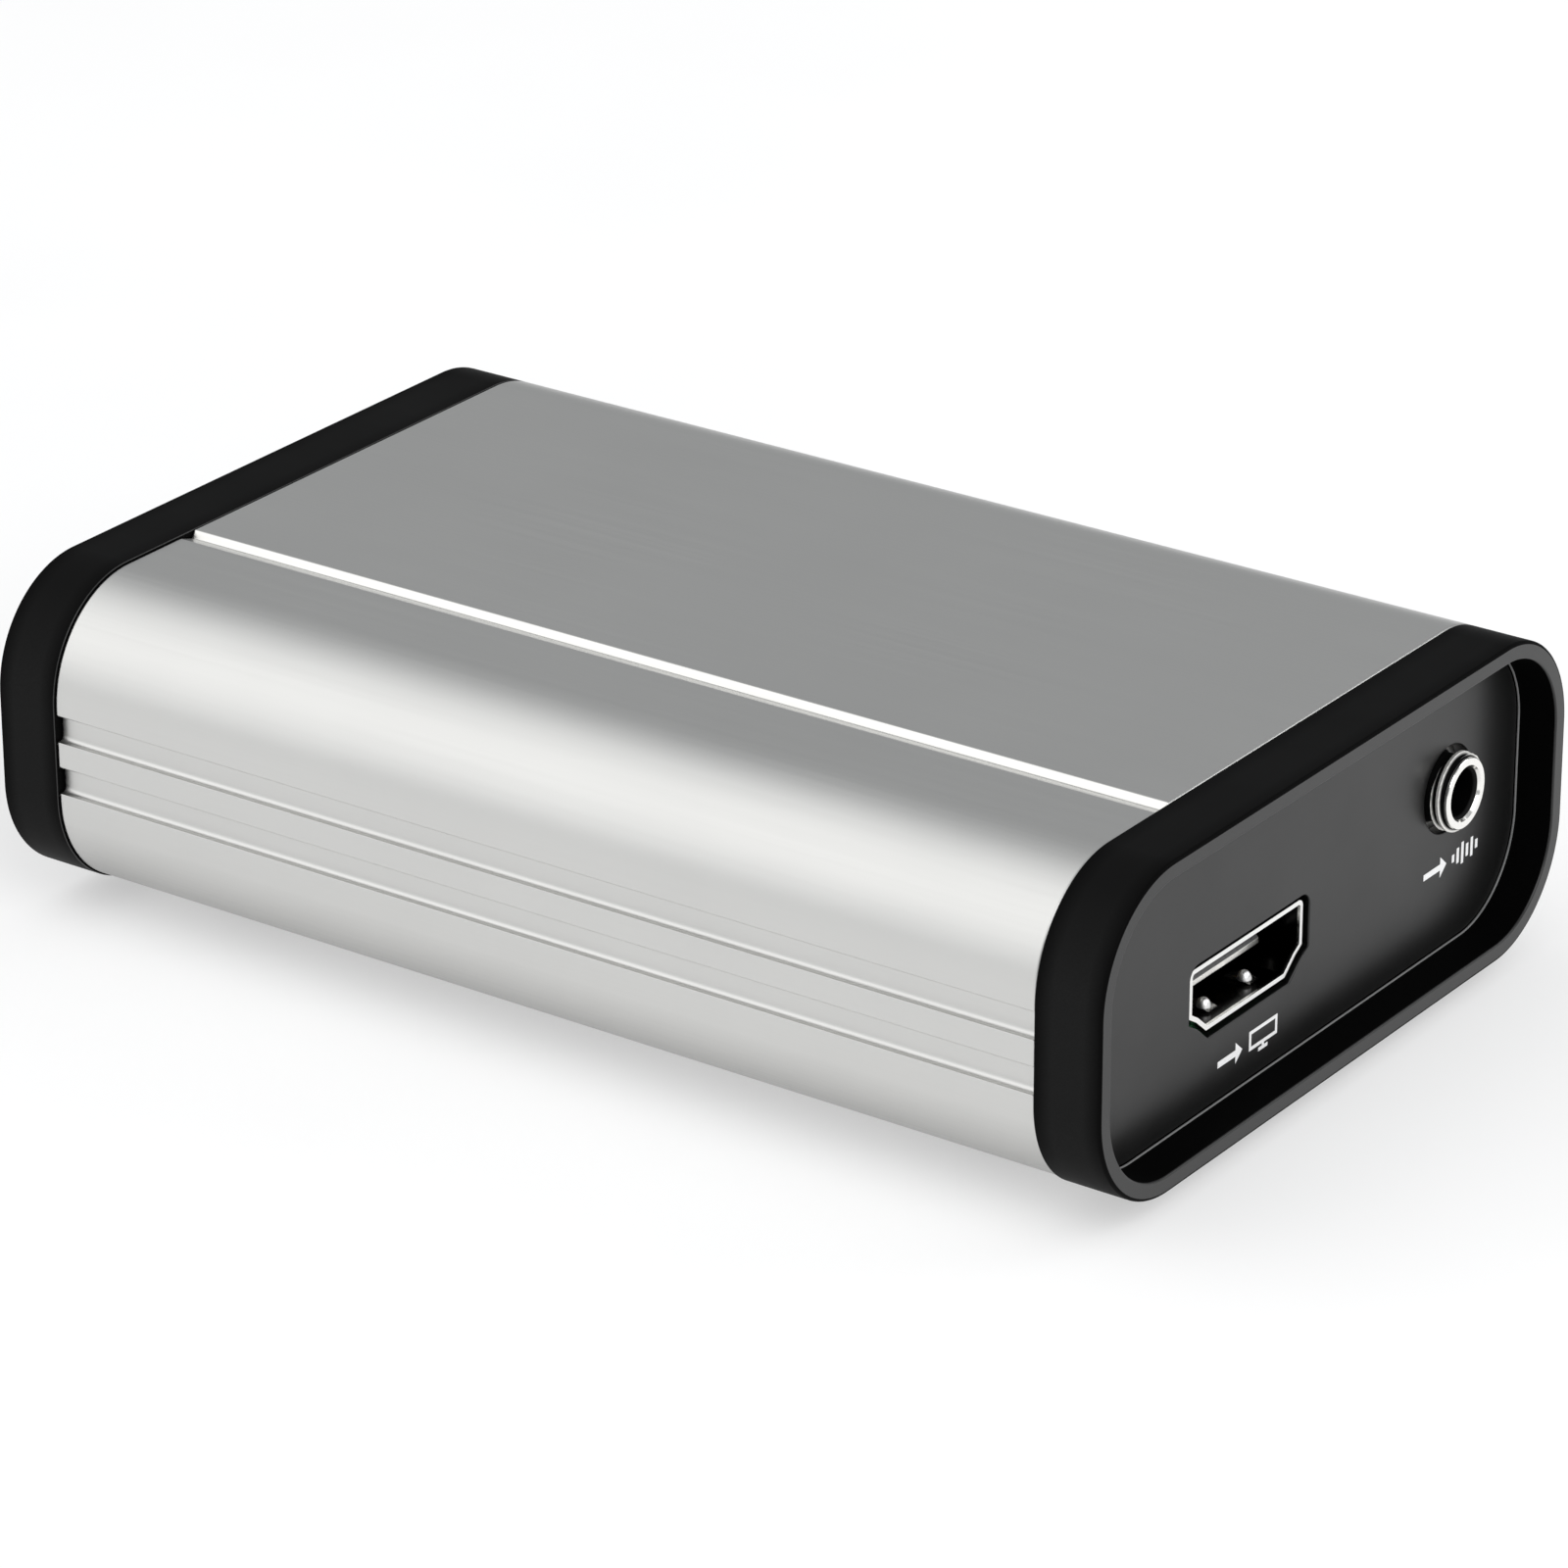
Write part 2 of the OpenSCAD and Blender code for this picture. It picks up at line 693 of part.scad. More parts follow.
module audio_jack_bush() {
    front = bush_face - jack_front;
    r = bush_d / 2;
    c = bush_chamfer;
    color("#e4e4e0") translate([jack_front, jack_y, jack_z]) rotate([0, 90, 0])
        rotate_extrude()
            polygon([[bore_r, -root_l], [root_d / 2, -root_l], [root_d / 2, 0], [flange_d / 2, 0],
                     [flange_d / 2, flange_t], [r, flange_t], [r, front - c], [r - c, front],
                     [bore_r + c, front], [bore_r, front - c]]);
}

// Both springs are drawn from the jack's axis, in X from the back of the jack's body and in Z
module jack_spring(path) {
    color("#c9a24a") translate([jack_back, jack_y, jack_z]) across_y(spring_w) polygon(strip(path, spring_t));
}

module audio_jack_tip_spring() {
    touch = bore_r + spring_t / 2;
    leg = -spring_t / 2;
    jack_spring([[leg, jack_leg_z], [leg, tip_rise], [tip_end / 2, tip_rise],
                 [tip_end - spring_lip, touch], [tip_end, touch + spring_lip / 2]]);
}

module audio_jack_ring_spring() {
    touch = -bore_r - spring_t / 2;
    jack_spring([[ring_leg, jack_leg_z], [ring_leg, touch - 2 * spring_lip],
                 [ring_end - spring_lip, touch], [ring_end, touch - spring_lip / 2]]);
}

// The data socket is drawn with its mouth towards +X and then turned to the output end
module at_data_mouth() mirror([1, 0, 0]) translate([data_x, data_y, data_z]) children();

module data_socket_shell() {
    drop = data_h / 2 + board_t + leg_out;
    color("#c8c8c8") at_data_mouth() {
        translate([-data_d, 0, 0]) along_x(data_d)
            difference() {
                stadium(data_w, data_h);
                stadium(data_w - 2 * data_wall, data_h - 2 * data_wall);
            }
        for (in = data_legs, side = [-1, 1])
            translate([-in - data_leg_w / 2, side * (data_w - data_wall) / 2 - data_wall / 2, -drop])
                cube([data_leg_w, data_wall, drop]);
    }
}

module data_contact_rows() {
    front = data_tongue_in + contact_start;
    rear = data_d + tail_gap;
    half = (data_tongue_t + fine_contact_t) / 2;
    drop = data_h / 2;
    contact_row(data_contacts, data_pitch, fine_contact_w, fine_contact_t,
                contact_path(front, rear + solder_foot + tail_gap, half, drop, fine_contact_t));
    contact_row(data_contacts, data_pitch, fine_contact_w, fine_contact_t,
                contact_path(front, rear, -half, drop, fine_contact_t));
}

module data_socket_tongue() {
    inside = 2 * data_wall + fit_gap;
    color("#181818") at_data_mouth()
        difference() {
            union() {
                translate([-data_d, 0, 0]) along_x(data_block_l) stadium(data_w - inside, data_h - inside);
                translate([-data_d + data_block_l / 2, -data_tongue_w / 2, -data_tongue_t / 2])
                    cube([data_d - data_block_l / 2 - data_tongue_in, data_tongue_w, data_tongue_t]);
            }
            data_contact_rows();
        }
}

module data_socket_contacts() {
    color("gold") at_data_mouth() data_contact_rows();
}

// A round clear rod through the output panel, with a collar behind it and a web down to the board
module light_pipe() {
    front = -panel_t - pipe_out;
    r = pipe_d / 2;
    web_w = 1;
    web_x = board_end_gap + collar_t;
    color("#e8f4ff", 0.6) translate([-panel_back, light_y, light_z]) {
        rotate([0, 90, 0]) rotate_extrude()
            polygon([[0, front], [r - pipe_chamfer, front], [r, front + pipe_chamfer], [r, 0],
                     [collar_d / 2, 0], [collar_d / 2, collar_t], [r, collar_t], [r, pipe_l], [0, pipe_l]]);
        translate([web_x, -web_w / 2, -light_axis_h]) cube([pipe_l - web_x, web_w, light_axis_h]);
    }
}

module status_led() {
    lens_r = pipe_d / 2 - pipe_chamfer;
    lens_out = 0.4;
    h = light_axis_h + pipe_d / 2;
    color("#f4f4ec") translate([pipe_l + fit_gap - panel_back, light_y, board_z]) {
        translate([lens_out, -led_w / 2, 0]) cube([led_l, led_w, h]);
        translate([0, 0, light_axis_h]) rotate([0, 90, 0])
            cylinder(r1 = lens_r - lens_out / 2, r2 = lens_r, h = lens_out + led_l / 2);
    }
}

// A flat chip body with a sloped upper edge and a pin-one dimple
module chip_body(l, w, h, lift) {
    slope = 0.15;
    dimple_d = 0.08;
    dimple_r = 0.3;
    dimple_in = 0.8;
    difference() {
        intersection() {
            translate([-l / 2, 0, lift]) along_x(l) polygon(chip_section(w, h, slope));
            translate([0, 0, lift]) across_y(w) polygon(chip_section(l, h, slope));
        }
        translate([dimple_in - l / 2, dimple_in - w / 2, lift + h - dimple_d]) cylinder(r = dimple_r, h = h);
    }
}

function chip_section(w, h, slope) =
    both_sides([[w / 2 - slope, 0], [w / 2, h / 2], [w / 2 - slope, h]]);

// One row of bent leads along the +X side of a chip body of length l in X
module lead_row(l, count, pitch, w) {
    z = chip_lift + chip_h / 2;
    half = lead_t / 2;
    knee = lead_out / 3;
    for (i = [0 : count - 1])
        translate([l / 2, (i - (count - 1) / 2) * pitch, 0]) across_y(w)
            polygon(strip([[-knee, z], [knee, z], [1.5 * knee, half], [lead_out, half]], lead_t));
}

module place(p) translate([p[0], p[1], board_z]) children();

module receiver_chip() {
    color("#222222") place(receiver_at) {
        chip_body(receiver_side, receiver_side, chip_h, chip_lift);
        for (turn = [0 : 90 : 270])
            rotate(turn) lead_row(receiver_side, receiver_leads, receiver_pitch, lead_w);
    }
}

module bridge_chip() {
    color("#262626") place(bridge_at) chip_body(bridge_side, bridge_side, chip_h, 0);
}

module memory_chip() {
    color("#262626") place(memory_at) chip_body(memory_l, memory_w, chip_h, 0);
}

// A small chip with leads along its two long sides
module two_row_chip(l, w, count, pitch, lead) {
    chip_body(l, w, chip_h, chip_lift);
    for (turn = [90, 270]) rotate(turn) lead_row(w, count, pitch, lead);
}

module codec_chip() {
    color("#262626") place(codec_at) two_row_chip(codec_l, codec_w, codec_leads, codec_pitch, lead_w);
}

module flash_chip() {
    color("#262626") place(flash_at) two_row_chip(flash_l, flash_w, 4, flash_pitch, wide_lead_w);
}

module voltage_regulator() {
    color("#262626") place(regulator_at) {
        chip_body(regulator_l, regulator_w, chip_h, chip_lift);
        rotate(270) lead_row(regulator_w, 3, regulator_pitch, 2 * wide_lead_w);
        rotate(90) lead_row(regulator_w, 1, regulator_pitch, regulator_tab);
    }
}

module surge_arrays() {
    color("#262626") for (p = surge_at) place(p) two_row_chip(array_l, array_w, 3, array_pitch, wide_lead_w);
}

module power_inductor(i) {
    corner = 0.8;
    cup_d = 0.3;
    cup_r = coil_side / 2 - corner;
    color("#3a3a3a") place(coil_at[i]) difference() {
        linear_extrude(coil_h) rounded_rect(coil_side, coil_side, corner);
        translate([0, 0, coil_h - cup_d]) cylinder(r = cup_r, h = coil_h);
    }
}

module crystal(i) {
    rim = 0.15;
    corner = 0.4;
    color("#b8b8b4") place(crystal_at[i]) {
        linear_extrude(crystal_h / 2) rounded_rect(crystal_l, crystal_w, corner);
        linear_extrude(crystal_h) rounded_rect(crystal_l - 2 * rim, crystal_w - 2 * rim, corner - rim);
    }
}

module bulk_capacitor(i) {
    base_h = 0.8;
    r = can_d / 2;
    base_out = 0.15;
    half_base = r + base_out;
    base_cut = 1.4;
    neck = 0.25;
    bead_z = base_h + 2 * neck;
    edge = 0.4;
    color("#c4c6c8") place(can_at[i]) {
        linear_extrude(base_h) difference() {
            square(2 * half_base, center = true);
            for (side = [-1, 1])
                translate([half_base, side * half_base]) rotate(45) square(base_cut, center = true);
        }
        rotate_extrude()
            polygon([[0, base_h / 2], [r, base_h / 2], [r, bead_z - neck], [r - neck, bead_z],
                     [r, bead_z + neck], [r, can_h - edge], [r - edge, can_h], [0, can_h]]);
    }
}

// A two-ended chip part lying along X on the board
module small_chip(h) {
    cap_l = small_l / 4;
    skin = 0.03;
    translate([-small_l / 2, skin - small_w / 2, skin]) cube([small_l, small_w - 2 * skin, h - 2 * skin]);
    for (side = [-1, 1])
        translate([side * (small_l - cap_l) / 2 - cap_l / 2, -small_w / 2, 0]) cube([cap_l, small_w, h]);
}

// Rows of capacitors on both sides of the bridge chip and beside the receiver
module chip_capacitors() {
    beside_bridge = bridge_side / 2 + small_row_gap;
    beside_receiver = receiver_side / 2 + lead_out + small_row_gap;
    color("#b59a6a") {
        for (i = [0 : 4], side = [-1, 1])
            place(bridge_at + [side * beside_bridge, (i - 2) * small_step])
                rotate(90) small_chip(capacitor_h);
        for (i = [0 : 3])
            place(receiver_at + [(i - 1.5) * small_step, beside_receiver]) small_chip(capacitor_h);
    }
}

// Rows of resistors in front of the receiver and beside the codec
module chip_resistors() {
    beside_receiver = receiver_side / 2 + lead_out + small_row_gap;
    beside_codec = codec_w / 2 + lead_out + small_row_gap;
    color("#2b2b2b") {
        for (i = [0 : 5])
            place(receiver_at + [(i - 2.5) * small_step, -beside_receiver])
                rotate(90) small_chip(resistor_h);
        for (i = [0 : 2])
            place(codec_at + [(i - 1) * small_step, -beside_codec]) small_chip(resistor_h);
    }
}

module foot(x, y) {
    r = foot_d / 2;
    edge = 0.4;
    draft = 0.35;
    color("#2a2a2a") translate([x * (case_l / 2 - foot_in_x), y * (case_w / 2 - foot_in_y), 0])
        rotate_extrude()
            polygon([[0, 0], [r - draft - edge, 0], [r - draft, edge], [r, foot_h], [0, foot_h]]);
}

sleeve();
input_bezel();
output_bezel();
input_panel();
output_panel();
main_board();
video_socket_shell();
video_socket_tongue();
video_socket_contacts();
audio_jack_body();
audio_jack_bush();
audio_jack_tip_spring();
audio_jack_ring_spring();
data_socket_shell();
data_socket_tongue();
data_socket_contacts();
light_pipe();
status_led();
receiver_chip();
bridge_chip();
memory_chip();
codec_chip();
flash_chip();
voltage_regulator();
surge_arrays();
chip_capacitors();
chip_resistors();
for (i = [0 : 1]) power_inductor(i);
for (i = [0 : 1]) crystal(i);
for (i = [0 : 2]) bulk_capacitor(i);
for (i = [0 : 3]) foot(i % 2 == 0 ? -1 : 1, i < 2 ? -1 : 1);
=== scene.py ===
# %% [markdown]
# A desktop video capture box: a satin aluminium sleeve, closed at both ends by black bezels, with
# its sockets in a charcoal panel that lies a few millimetres inside each bezel.
# The solid model comes in as a fixed frame. This lesson gives each piece its real edges and its
# finish, then sets up the light table and the camera.

# %% Load the solid model
import math

import bmesh
import bpy
from mathutils import Matrix, Vector
from mathutils.geometry import tessellate_polygon


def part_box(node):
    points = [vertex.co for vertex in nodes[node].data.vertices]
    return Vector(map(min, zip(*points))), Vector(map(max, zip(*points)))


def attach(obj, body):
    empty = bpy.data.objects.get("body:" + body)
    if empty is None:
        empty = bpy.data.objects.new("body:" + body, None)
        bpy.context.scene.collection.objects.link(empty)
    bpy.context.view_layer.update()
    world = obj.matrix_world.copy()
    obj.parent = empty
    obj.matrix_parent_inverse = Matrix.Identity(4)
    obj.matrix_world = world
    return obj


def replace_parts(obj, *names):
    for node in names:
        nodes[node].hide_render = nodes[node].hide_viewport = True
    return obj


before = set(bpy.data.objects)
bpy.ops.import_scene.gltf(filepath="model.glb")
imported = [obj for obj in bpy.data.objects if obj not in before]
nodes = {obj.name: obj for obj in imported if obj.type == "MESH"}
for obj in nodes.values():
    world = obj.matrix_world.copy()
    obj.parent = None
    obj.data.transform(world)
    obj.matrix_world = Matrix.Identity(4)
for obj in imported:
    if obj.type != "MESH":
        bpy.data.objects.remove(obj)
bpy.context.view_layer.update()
scene = bpy.context.scene

# %% [markdown]
# The sizes that more than one piece needs are read from the solids, so nothing has to be typed
# twice. All lengths in this file are millimetres until the moment a mesh is made.

# %% Read the main sizes from the solids
MM = 0.001


def box_mm(node):
    low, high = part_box(node)
    return low / MM, high / MM


bezel_low, bezel_high = box_mm("input_bezel")
sleeve_low, sleeve_high = box_mm("sleeve")
board_low, board_high = box_mm("main_board")
half_depth = bezel_high.y
half_height = (bezel_high.z - bezel_low.z) / 2
middle_z = (bezel_high.z + bezel_low.z) / 2
panel_face = box_mm("input_panel")[1].x
print("case half depth", round(half_depth, 2), "half height", round(half_height, 2),
      "panel face at x", round(panel_face, 2))

# %% [markdown]
# Every finish below is a small tree of shader nodes. They all start alike: a principled shader and
# some noise that is fixed to the object.
# Noise that is stretched along one axis gives brushing, and fine even noise gives moulded grain.
# Where one piece has two finishes, a mask by position parts them.

# %% Helpers for the finishes
class Finish:
    """A material under construction, with the few nodes that this object's finishes need."""

    def __init__(self, name, **sockets):
        self.material = bpy.data.materials.new(name)
        self.material.use_nodes = True
        self.tree = self.material.node_tree
        self.shader = self.tree.nodes["Principled BSDF"]
        self.place = self.tree.nodes.new("ShaderNodeTexCoord").outputs["Object"]
        for socket, value in sockets.items():
            self.shader.inputs[socket.replace("_", " ")].default_value = value

    def link(self, source, target):
        self.tree.links.new(source, target)

    def feed(self, socket, source):
        self.link(source, self.shader.inputs[socket])

    def vector(self, operation, source, other=None):
        """One step of vector arithmetic; a length comes out as a number."""
        node = self.tree.nodes.new("ShaderNodeVectorMath")
        node.operation = operation
        self.link(source, node.inputs[0])
        if other is not None:
            node.inputs[1].default_value = other
        return node.outputs["Value" if operation == "LENGTH" else "Vector"]

    def noise(self, size, stretch=(1, 1, 1), detail=3.0):
        """Noise with grains of about size millimetres, longer along an axis by its stretch."""
        grain = self.tree.nodes.new("ShaderNodeTexNoise")
        grain.inputs["Scale"].default_value = 1.0
        grain.inputs["Detail"].default_value = detail
        scaled = self.vector("MULTIPLY", self.place, [1 / (size * MM * s) for s in stretch])
        self.link(scaled, grain.inputs["Vector"])
        return grain.outputs["Fac"]

    def ramp(self, source, low, high, start=0.3, end=0.7):
        """Turns a factor into a colour or a grey between low and high."""
        node = self.tree.nodes.new("ShaderNodeValToRGB")
        for element, value, position in zip(node.color_ramp.elements, (low, high), (start, end)):
            element.position = position
            element.color = (*value, 1) if isinstance(value, tuple) else (value, value, value, 1)
        self.link(source, node.inputs["Fac"])
        return node.outputs["Color"]

    def mix(self, factor, first, second):
        """The first colour where the factor is 0 and the second where it is 1."""
        node = self.tree.nodes.new("ShaderNodeMix")
        node.data_type = "RGBA"
        self.link(factor, node.inputs["Factor"])
        for socket, value in ((node.inputs["A"], first), (node.inputs["B"], second)):
            if isinstance(value, tuple):
                socket.default_value = (*value, 1)
            else:
                self.link(value, socket)
        return node.outputs["Result"]

    def level(self, source, zero, one):
        """Turns a length into a factor: 0 at one length and 1 at another, in millimetres."""
        node = self.tree.nodes.new("ShaderNodeMapRange")
        node.inputs["From Min"].default_value = zero * MM
        node.inputs["From Max"].default_value = one * MM
        self.link(source, node.inputs["Value"])
        return node.outputs["Result"]

    def inside(self, low, high, blur=0.02):
        """1 inside a box given by two corners in millimetres, 0 outside it."""
        low, high = Vector(low) * MM, Vector(high) * MM
        offset = self.vector("SUBTRACT", self.place, (low + high) / 2)
        past = self.vector("SUBTRACT", self.vector("ABSOLUTE", offset), (high - low) / 2)
        parts = self.tree.nodes.new("ShaderNodeSeparateXYZ")
        self.link(past, parts.inputs[0])
        larger = parts.outputs["X"]
        for axis in "YZ":
            most = self.tree.nodes.new("ShaderNodeMath")
            most.operation = "MAXIMUM"
            self.link(larger, most.inputs[0])
            self.link(parts.outputs[axis], most.inputs[1])
            larger = most.outputs[0]
        return self.level(larger, blur, -blur)

    def off_axis(self, axis):
        """The distance from a line along X through a point in millimetres."""
        offset = self.vector("SUBTRACT", self.place, Vector(axis) * MM)
        return self.vector("LENGTH", self.vector("MULTIPLY", offset, (0, 1, 1)))

    def bump(self, height, depth, strength=1.0):
        """Tilts the surface as if the height factor stood depth millimetres proud."""
        node = self.tree.nodes.new("ShaderNodeBump")
        node.inputs["Strength"].default_value = strength
        node.inputs["Distance"].default_value = depth * MM
        self.link(height, node.inputs["Height"])
        self.feed("Normal", node.outputs["Normal"])


def grained(name, size, low, high, rough, stretch=(1, 1, 1), relief=None, **sockets):
    """A finish whose colour and roughness follow one noise, and its surface too if it has relief."""
    finish = Finish(name, **sockets)
    grain = finish.noise(size, stretch)
    finish.feed("Base Color", finish.ramp(grain, low, high))
    finish.feed("Roughness", finish.ramp(grain, *rough))
    if relief:
        finish.bump(grain, *relief)
    return finish


def dress(piece, finish):
    """Gives a piece, or a solid by its node name, one finish or a list of them."""
    obj = nodes[piece] if isinstance(piece, str) else piece
    if obj.data.materials:
        obj.data.materials.clear()
    for each in finish if isinstance(finish, list) else [finish]:
        obj.data.materials.append(each.material)
    return obj


print("finish helpers ready")

# %% [markdown]
# The sleeve is one aluminium extrusion, so one outline drawn across the case makes all of it.
# The outline could be bevelled after it is drawn out, but a bevel rounds every edge alike.
# Here each corner of the outline has its own radius, and each point knows the true direction of
# the surface, which keeps the broad front curve as smooth as the real one under soft light.
# The lower side of each groove runs out in a wide fillet, which shows as a bright line.

# %% Round the corners of an outline
curve_detail = 9


def rounded(corners):
    """Points and outward directions round an anticlockwise outline of (y, z, radius) corners."""
    run = []
    for i, (y, z, radius) in enumerate(corners):
        corner = Vector((y, z))
        before = (corner - Vector(corners[i - 1][:2])).normalized()
        after = (Vector(corners[(i + 1) % len(corners)][:2]) - corner).normalized()
        turn = math.atan2(before.x * after.y - before.y * after.x, before.dot(after))
        side = math.copysign(1, turn)
        outward = Vector((before.y, -before.x))
        start = corner - before * radius * math.tan(abs(turn) / 2)
        centre = start - outward * radius * side
        steps = max(4, round(abs(turn) * math.sqrt(radius) * curve_detail))
        for step in range(steps + 1):
            angle = turn * step / steps
            facing = Vector((outward.x * math.cos(angle) - outward.y * math.sin(angle),
                             outward.x * math.sin(angle) + outward.y * math.cos(angle)))
            run.append((centre + facing * radius * side, facing))
    return run


inset = sleeve_low.y + half_depth
corner_radius = 8.8
low_y, high_y = half_depth - inset, half_depth
low_z, high_z = half_height - inset, half_height
low_radius = corner_radius - inset
groove_depth, groove_near, groove_far = 0.6, 1.03, 3.07
step_y, step_foot, trough_end, trough_depth = -14.5, -14.85, -16.15, 0.55
crest, root, trough_round = 0.2, 0.1, 0.4
ledge_crest, ledge_root = 0.04, 0.45


def grooves(side, first_y, last_y):
    """The two side grooves, from one end to the other, on the front (-1) or the back (1)."""
    floor_y, land_y = low_y - groove_depth, low_y
    half = [(first_y, groove_far), (floor_y, groove_far), (floor_y, groove_near), (land_y, groove_near),
            (land_y, -groove_near), (floor_y, -groove_near), (floor_y, -groove_far), (last_y, -groove_far)]
    corners = []
    for y, z in half:
        on_ledge, in_root = -side * z in (groove_near, -groove_far), y == floor_y
        radius = (ledge_root if in_root else ledge_crest) if on_ledge else (root if in_root else crest)
        corners.append((side * y, -side * z, radius))
    return corners


sleeve_outline = rounded(
    [(-low_y, -low_z, low_radius), (low_y, -low_z, low_radius)]
    + grooves(1, low_y, high_y)
    + [(high_y, high_z, corner_radius), (step_y, high_z, crest),
       (step_foot, high_z - trough_depth, root), (trough_end, low_z, trough_round),
       (-low_y, low_z, low_radius)]
    + grooves(-1, low_y, low_y))
print("sleeve outline:", len(sleeve_outline), "points")

# %% [markdown]
# Inside, the extrusion carries two pairs of ribs that hold the edges of the circuit board.
# They are out of sight behind the panels, so their edges stay sharp: the outline of the hollow is
# a chain of straight and round runs, and each run keeps its own directions.

# %% Draw the hollow with its card guides
wall = 1.8
hollow_y, hollow_z = low_y - wall, low_z - wall
hollow_radius = low_radius - wall
guide_grip, guide_thickness, guide_play = 1.8, 1.2, 0.1
guide_tip = board_high.y - guide_grip
over_board = board_high.z - middle_z + guide_play
under_board = board_low.z - middle_z - guide_play
guide_levels = [over_board + guide_thickness, over_board, under_board, under_board - guide_thickness]
step_degrees = 5


def straight(start, end):
    start, end = Vector(start), Vector(end)
    heading = (end - start).normalized()
    return [(start, Vector((heading.y, -heading.x))), (end, Vector((heading.y, -heading.x)))]


def hollow_arc(side, height, start, end):
    """Part of one round corner of the hollow, with the surface facing its centre."""
    steps = max(2, round(abs(end - start) / step_degrees))
    centre = Vector((side * (hollow_y - hollow_radius), height * (hollow_z - hollow_radius)))
    run = []
    for step in range(steps + 1):
        angle = math.radians(start + (end - start) * step / steps)
        out = Vector((math.cos(angle), math.sin(angle)))
        run.append((centre + out * hollow_radius, -out))
    return run


def mirrored(runs):
    """The same runs on the other side of the case, so that they go on in the same sense."""
    flip = [[(Vector((-p.x, p.y)), Vector((-n.x, n.y))) for p, n in reversed(run)] for run in runs]
    return flip[::-1]


guide_angles = [math.degrees(math.asin((z + hollow_z - hollow_radius) / hollow_radius))
                for z in guide_levels]
on_wall = [hollow_arc(1, -1, a, a - 1)[0][0] for a in guide_angles]
right_side = [straight((0, hollow_z), (hollow_y - hollow_radius, hollow_z)),
              hollow_arc(1, 1, 90, 0),
              straight((hollow_y, hollow_z - hollow_radius), (hollow_y, hollow_radius - hollow_z))]
angle = 0
for top, bottom in ((0, 1), (2, 3)):
    tip_top, tip_bottom = (guide_tip, guide_levels[top]), (guide_tip, guide_levels[bottom])
    right_side += [hollow_arc(1, -1, angle, guide_angles[top]), straight(on_wall[top], tip_top),
                   straight(tip_top, tip_bottom), straight(tip_bottom, on_wall[bottom])]
    angle = guide_angles[bottom]
right_side += [hollow_arc(1, -1, angle, -90),
               straight((hollow_y - hollow_radius, -hollow_z), (0, -hollow_z))]
hollow_runs = right_side + mirrored(right_side)
print("hollow:", len(hollow_runs), "runs, guides at", [round(z, 2) for z in guide_levels])

# %% [markdown]
# The outline is now drawn out along the case. The saw leaves a sharp end, and tumbling rounds it a
# little: the last rings shrink inwards round a quarter circle. That small edge catches the light
# beside the black bezels.

# %% Draw the outline out into the sleeve
class Skin:
    """Faces that share their corner points, while each corner keeps its own direction."""

    def __init__(self):
        self.points, self.faces, self.facing, self.finishes = {}, [], [], []

    def add(self, corners, finish=0):
        face, directions = [], []
        for point, direction in corners:
            key = tuple(round(c, 6) for c in point)
            index = self.points.setdefault(key, len(self.points))
            if index not in face:
                face.append(index)
                directions.append(direction)
        if len(face) > 2:
            self.faces.append(face)
            self.facing += directions
            self.finishes.append(finish)

    def sweep(self, outline, rings, finish=0):
        """Joins copies of an outline that each ring sets back and places along X."""
        for near, far in zip(rings, rings[1:]):
            for a, b in zip(outline, outline[1:] + outline[:1]):
                self.add([on_ring(a, near), on_ring(b, near), on_ring(b, far), on_ring(a, far)], finish)

    def block(self, low, high):
        """A plain box between two corners."""
        ends = (low, high)
        for axis in range(3):
            u, v = (axis + 1) % 3, (axis + 2) % 3
            for end, turn in ((0, -1), (1, 1)):
                corners = []
                for i, j in ((0, 0), (1, 0), (1, 1), (0, 1))[::turn]:
                    point, out = [0, 0, 0], [0, 0, 0]
                    point[axis], point[u], point[v] = ends[end][axis], ends[i][u], ends[j][v]
                    out[axis] = turn
                    corners.append((tuple(point), Vector(out)))
                self.add(corners)

    def piece(self, name):
        mesh = bpy.data.meshes.new(name)
        mesh.from_pydata([Vector(p) * MM for p in self.points], [], self.faces)
        mesh.polygons.foreach_set("use_smooth", [True] * len(mesh.polygons))
        mesh.polygons.foreach_set("material_index", self.finishes)
        mesh.normals_split_custom_set([d.normalized() for d in self.facing])
        obj = bpy.data.objects.new(name, mesh)
        scene.collection.objects.link(obj)
        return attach(obj, "root")


def on_ring(sample, ring):
    """A point of an outline and its direction, on a ring (x, set back by, leaning by)."""
    (point, out), (x, shrink, tilt) = sample, ring
    p = point - out * shrink
    lean = math.cos(tilt)
    return (x, p.x, p.y + middle_z), Vector((math.sin(tilt), out.x * lean, out.y * lean))


quarter = [math.radians(a) for a in (0, 18, 36, 54, 72, 90)]


def left_edge(x, radius):
    return [(x + radius * (1 - math.sin(a)), radius * (1 - math.cos(a)), -a) for a in reversed(quarter)]


def right_edge(x, radius):
    return [(x - radius * (1 - math.sin(a)), radius * (1 - math.cos(a)), a) for a in quarter]


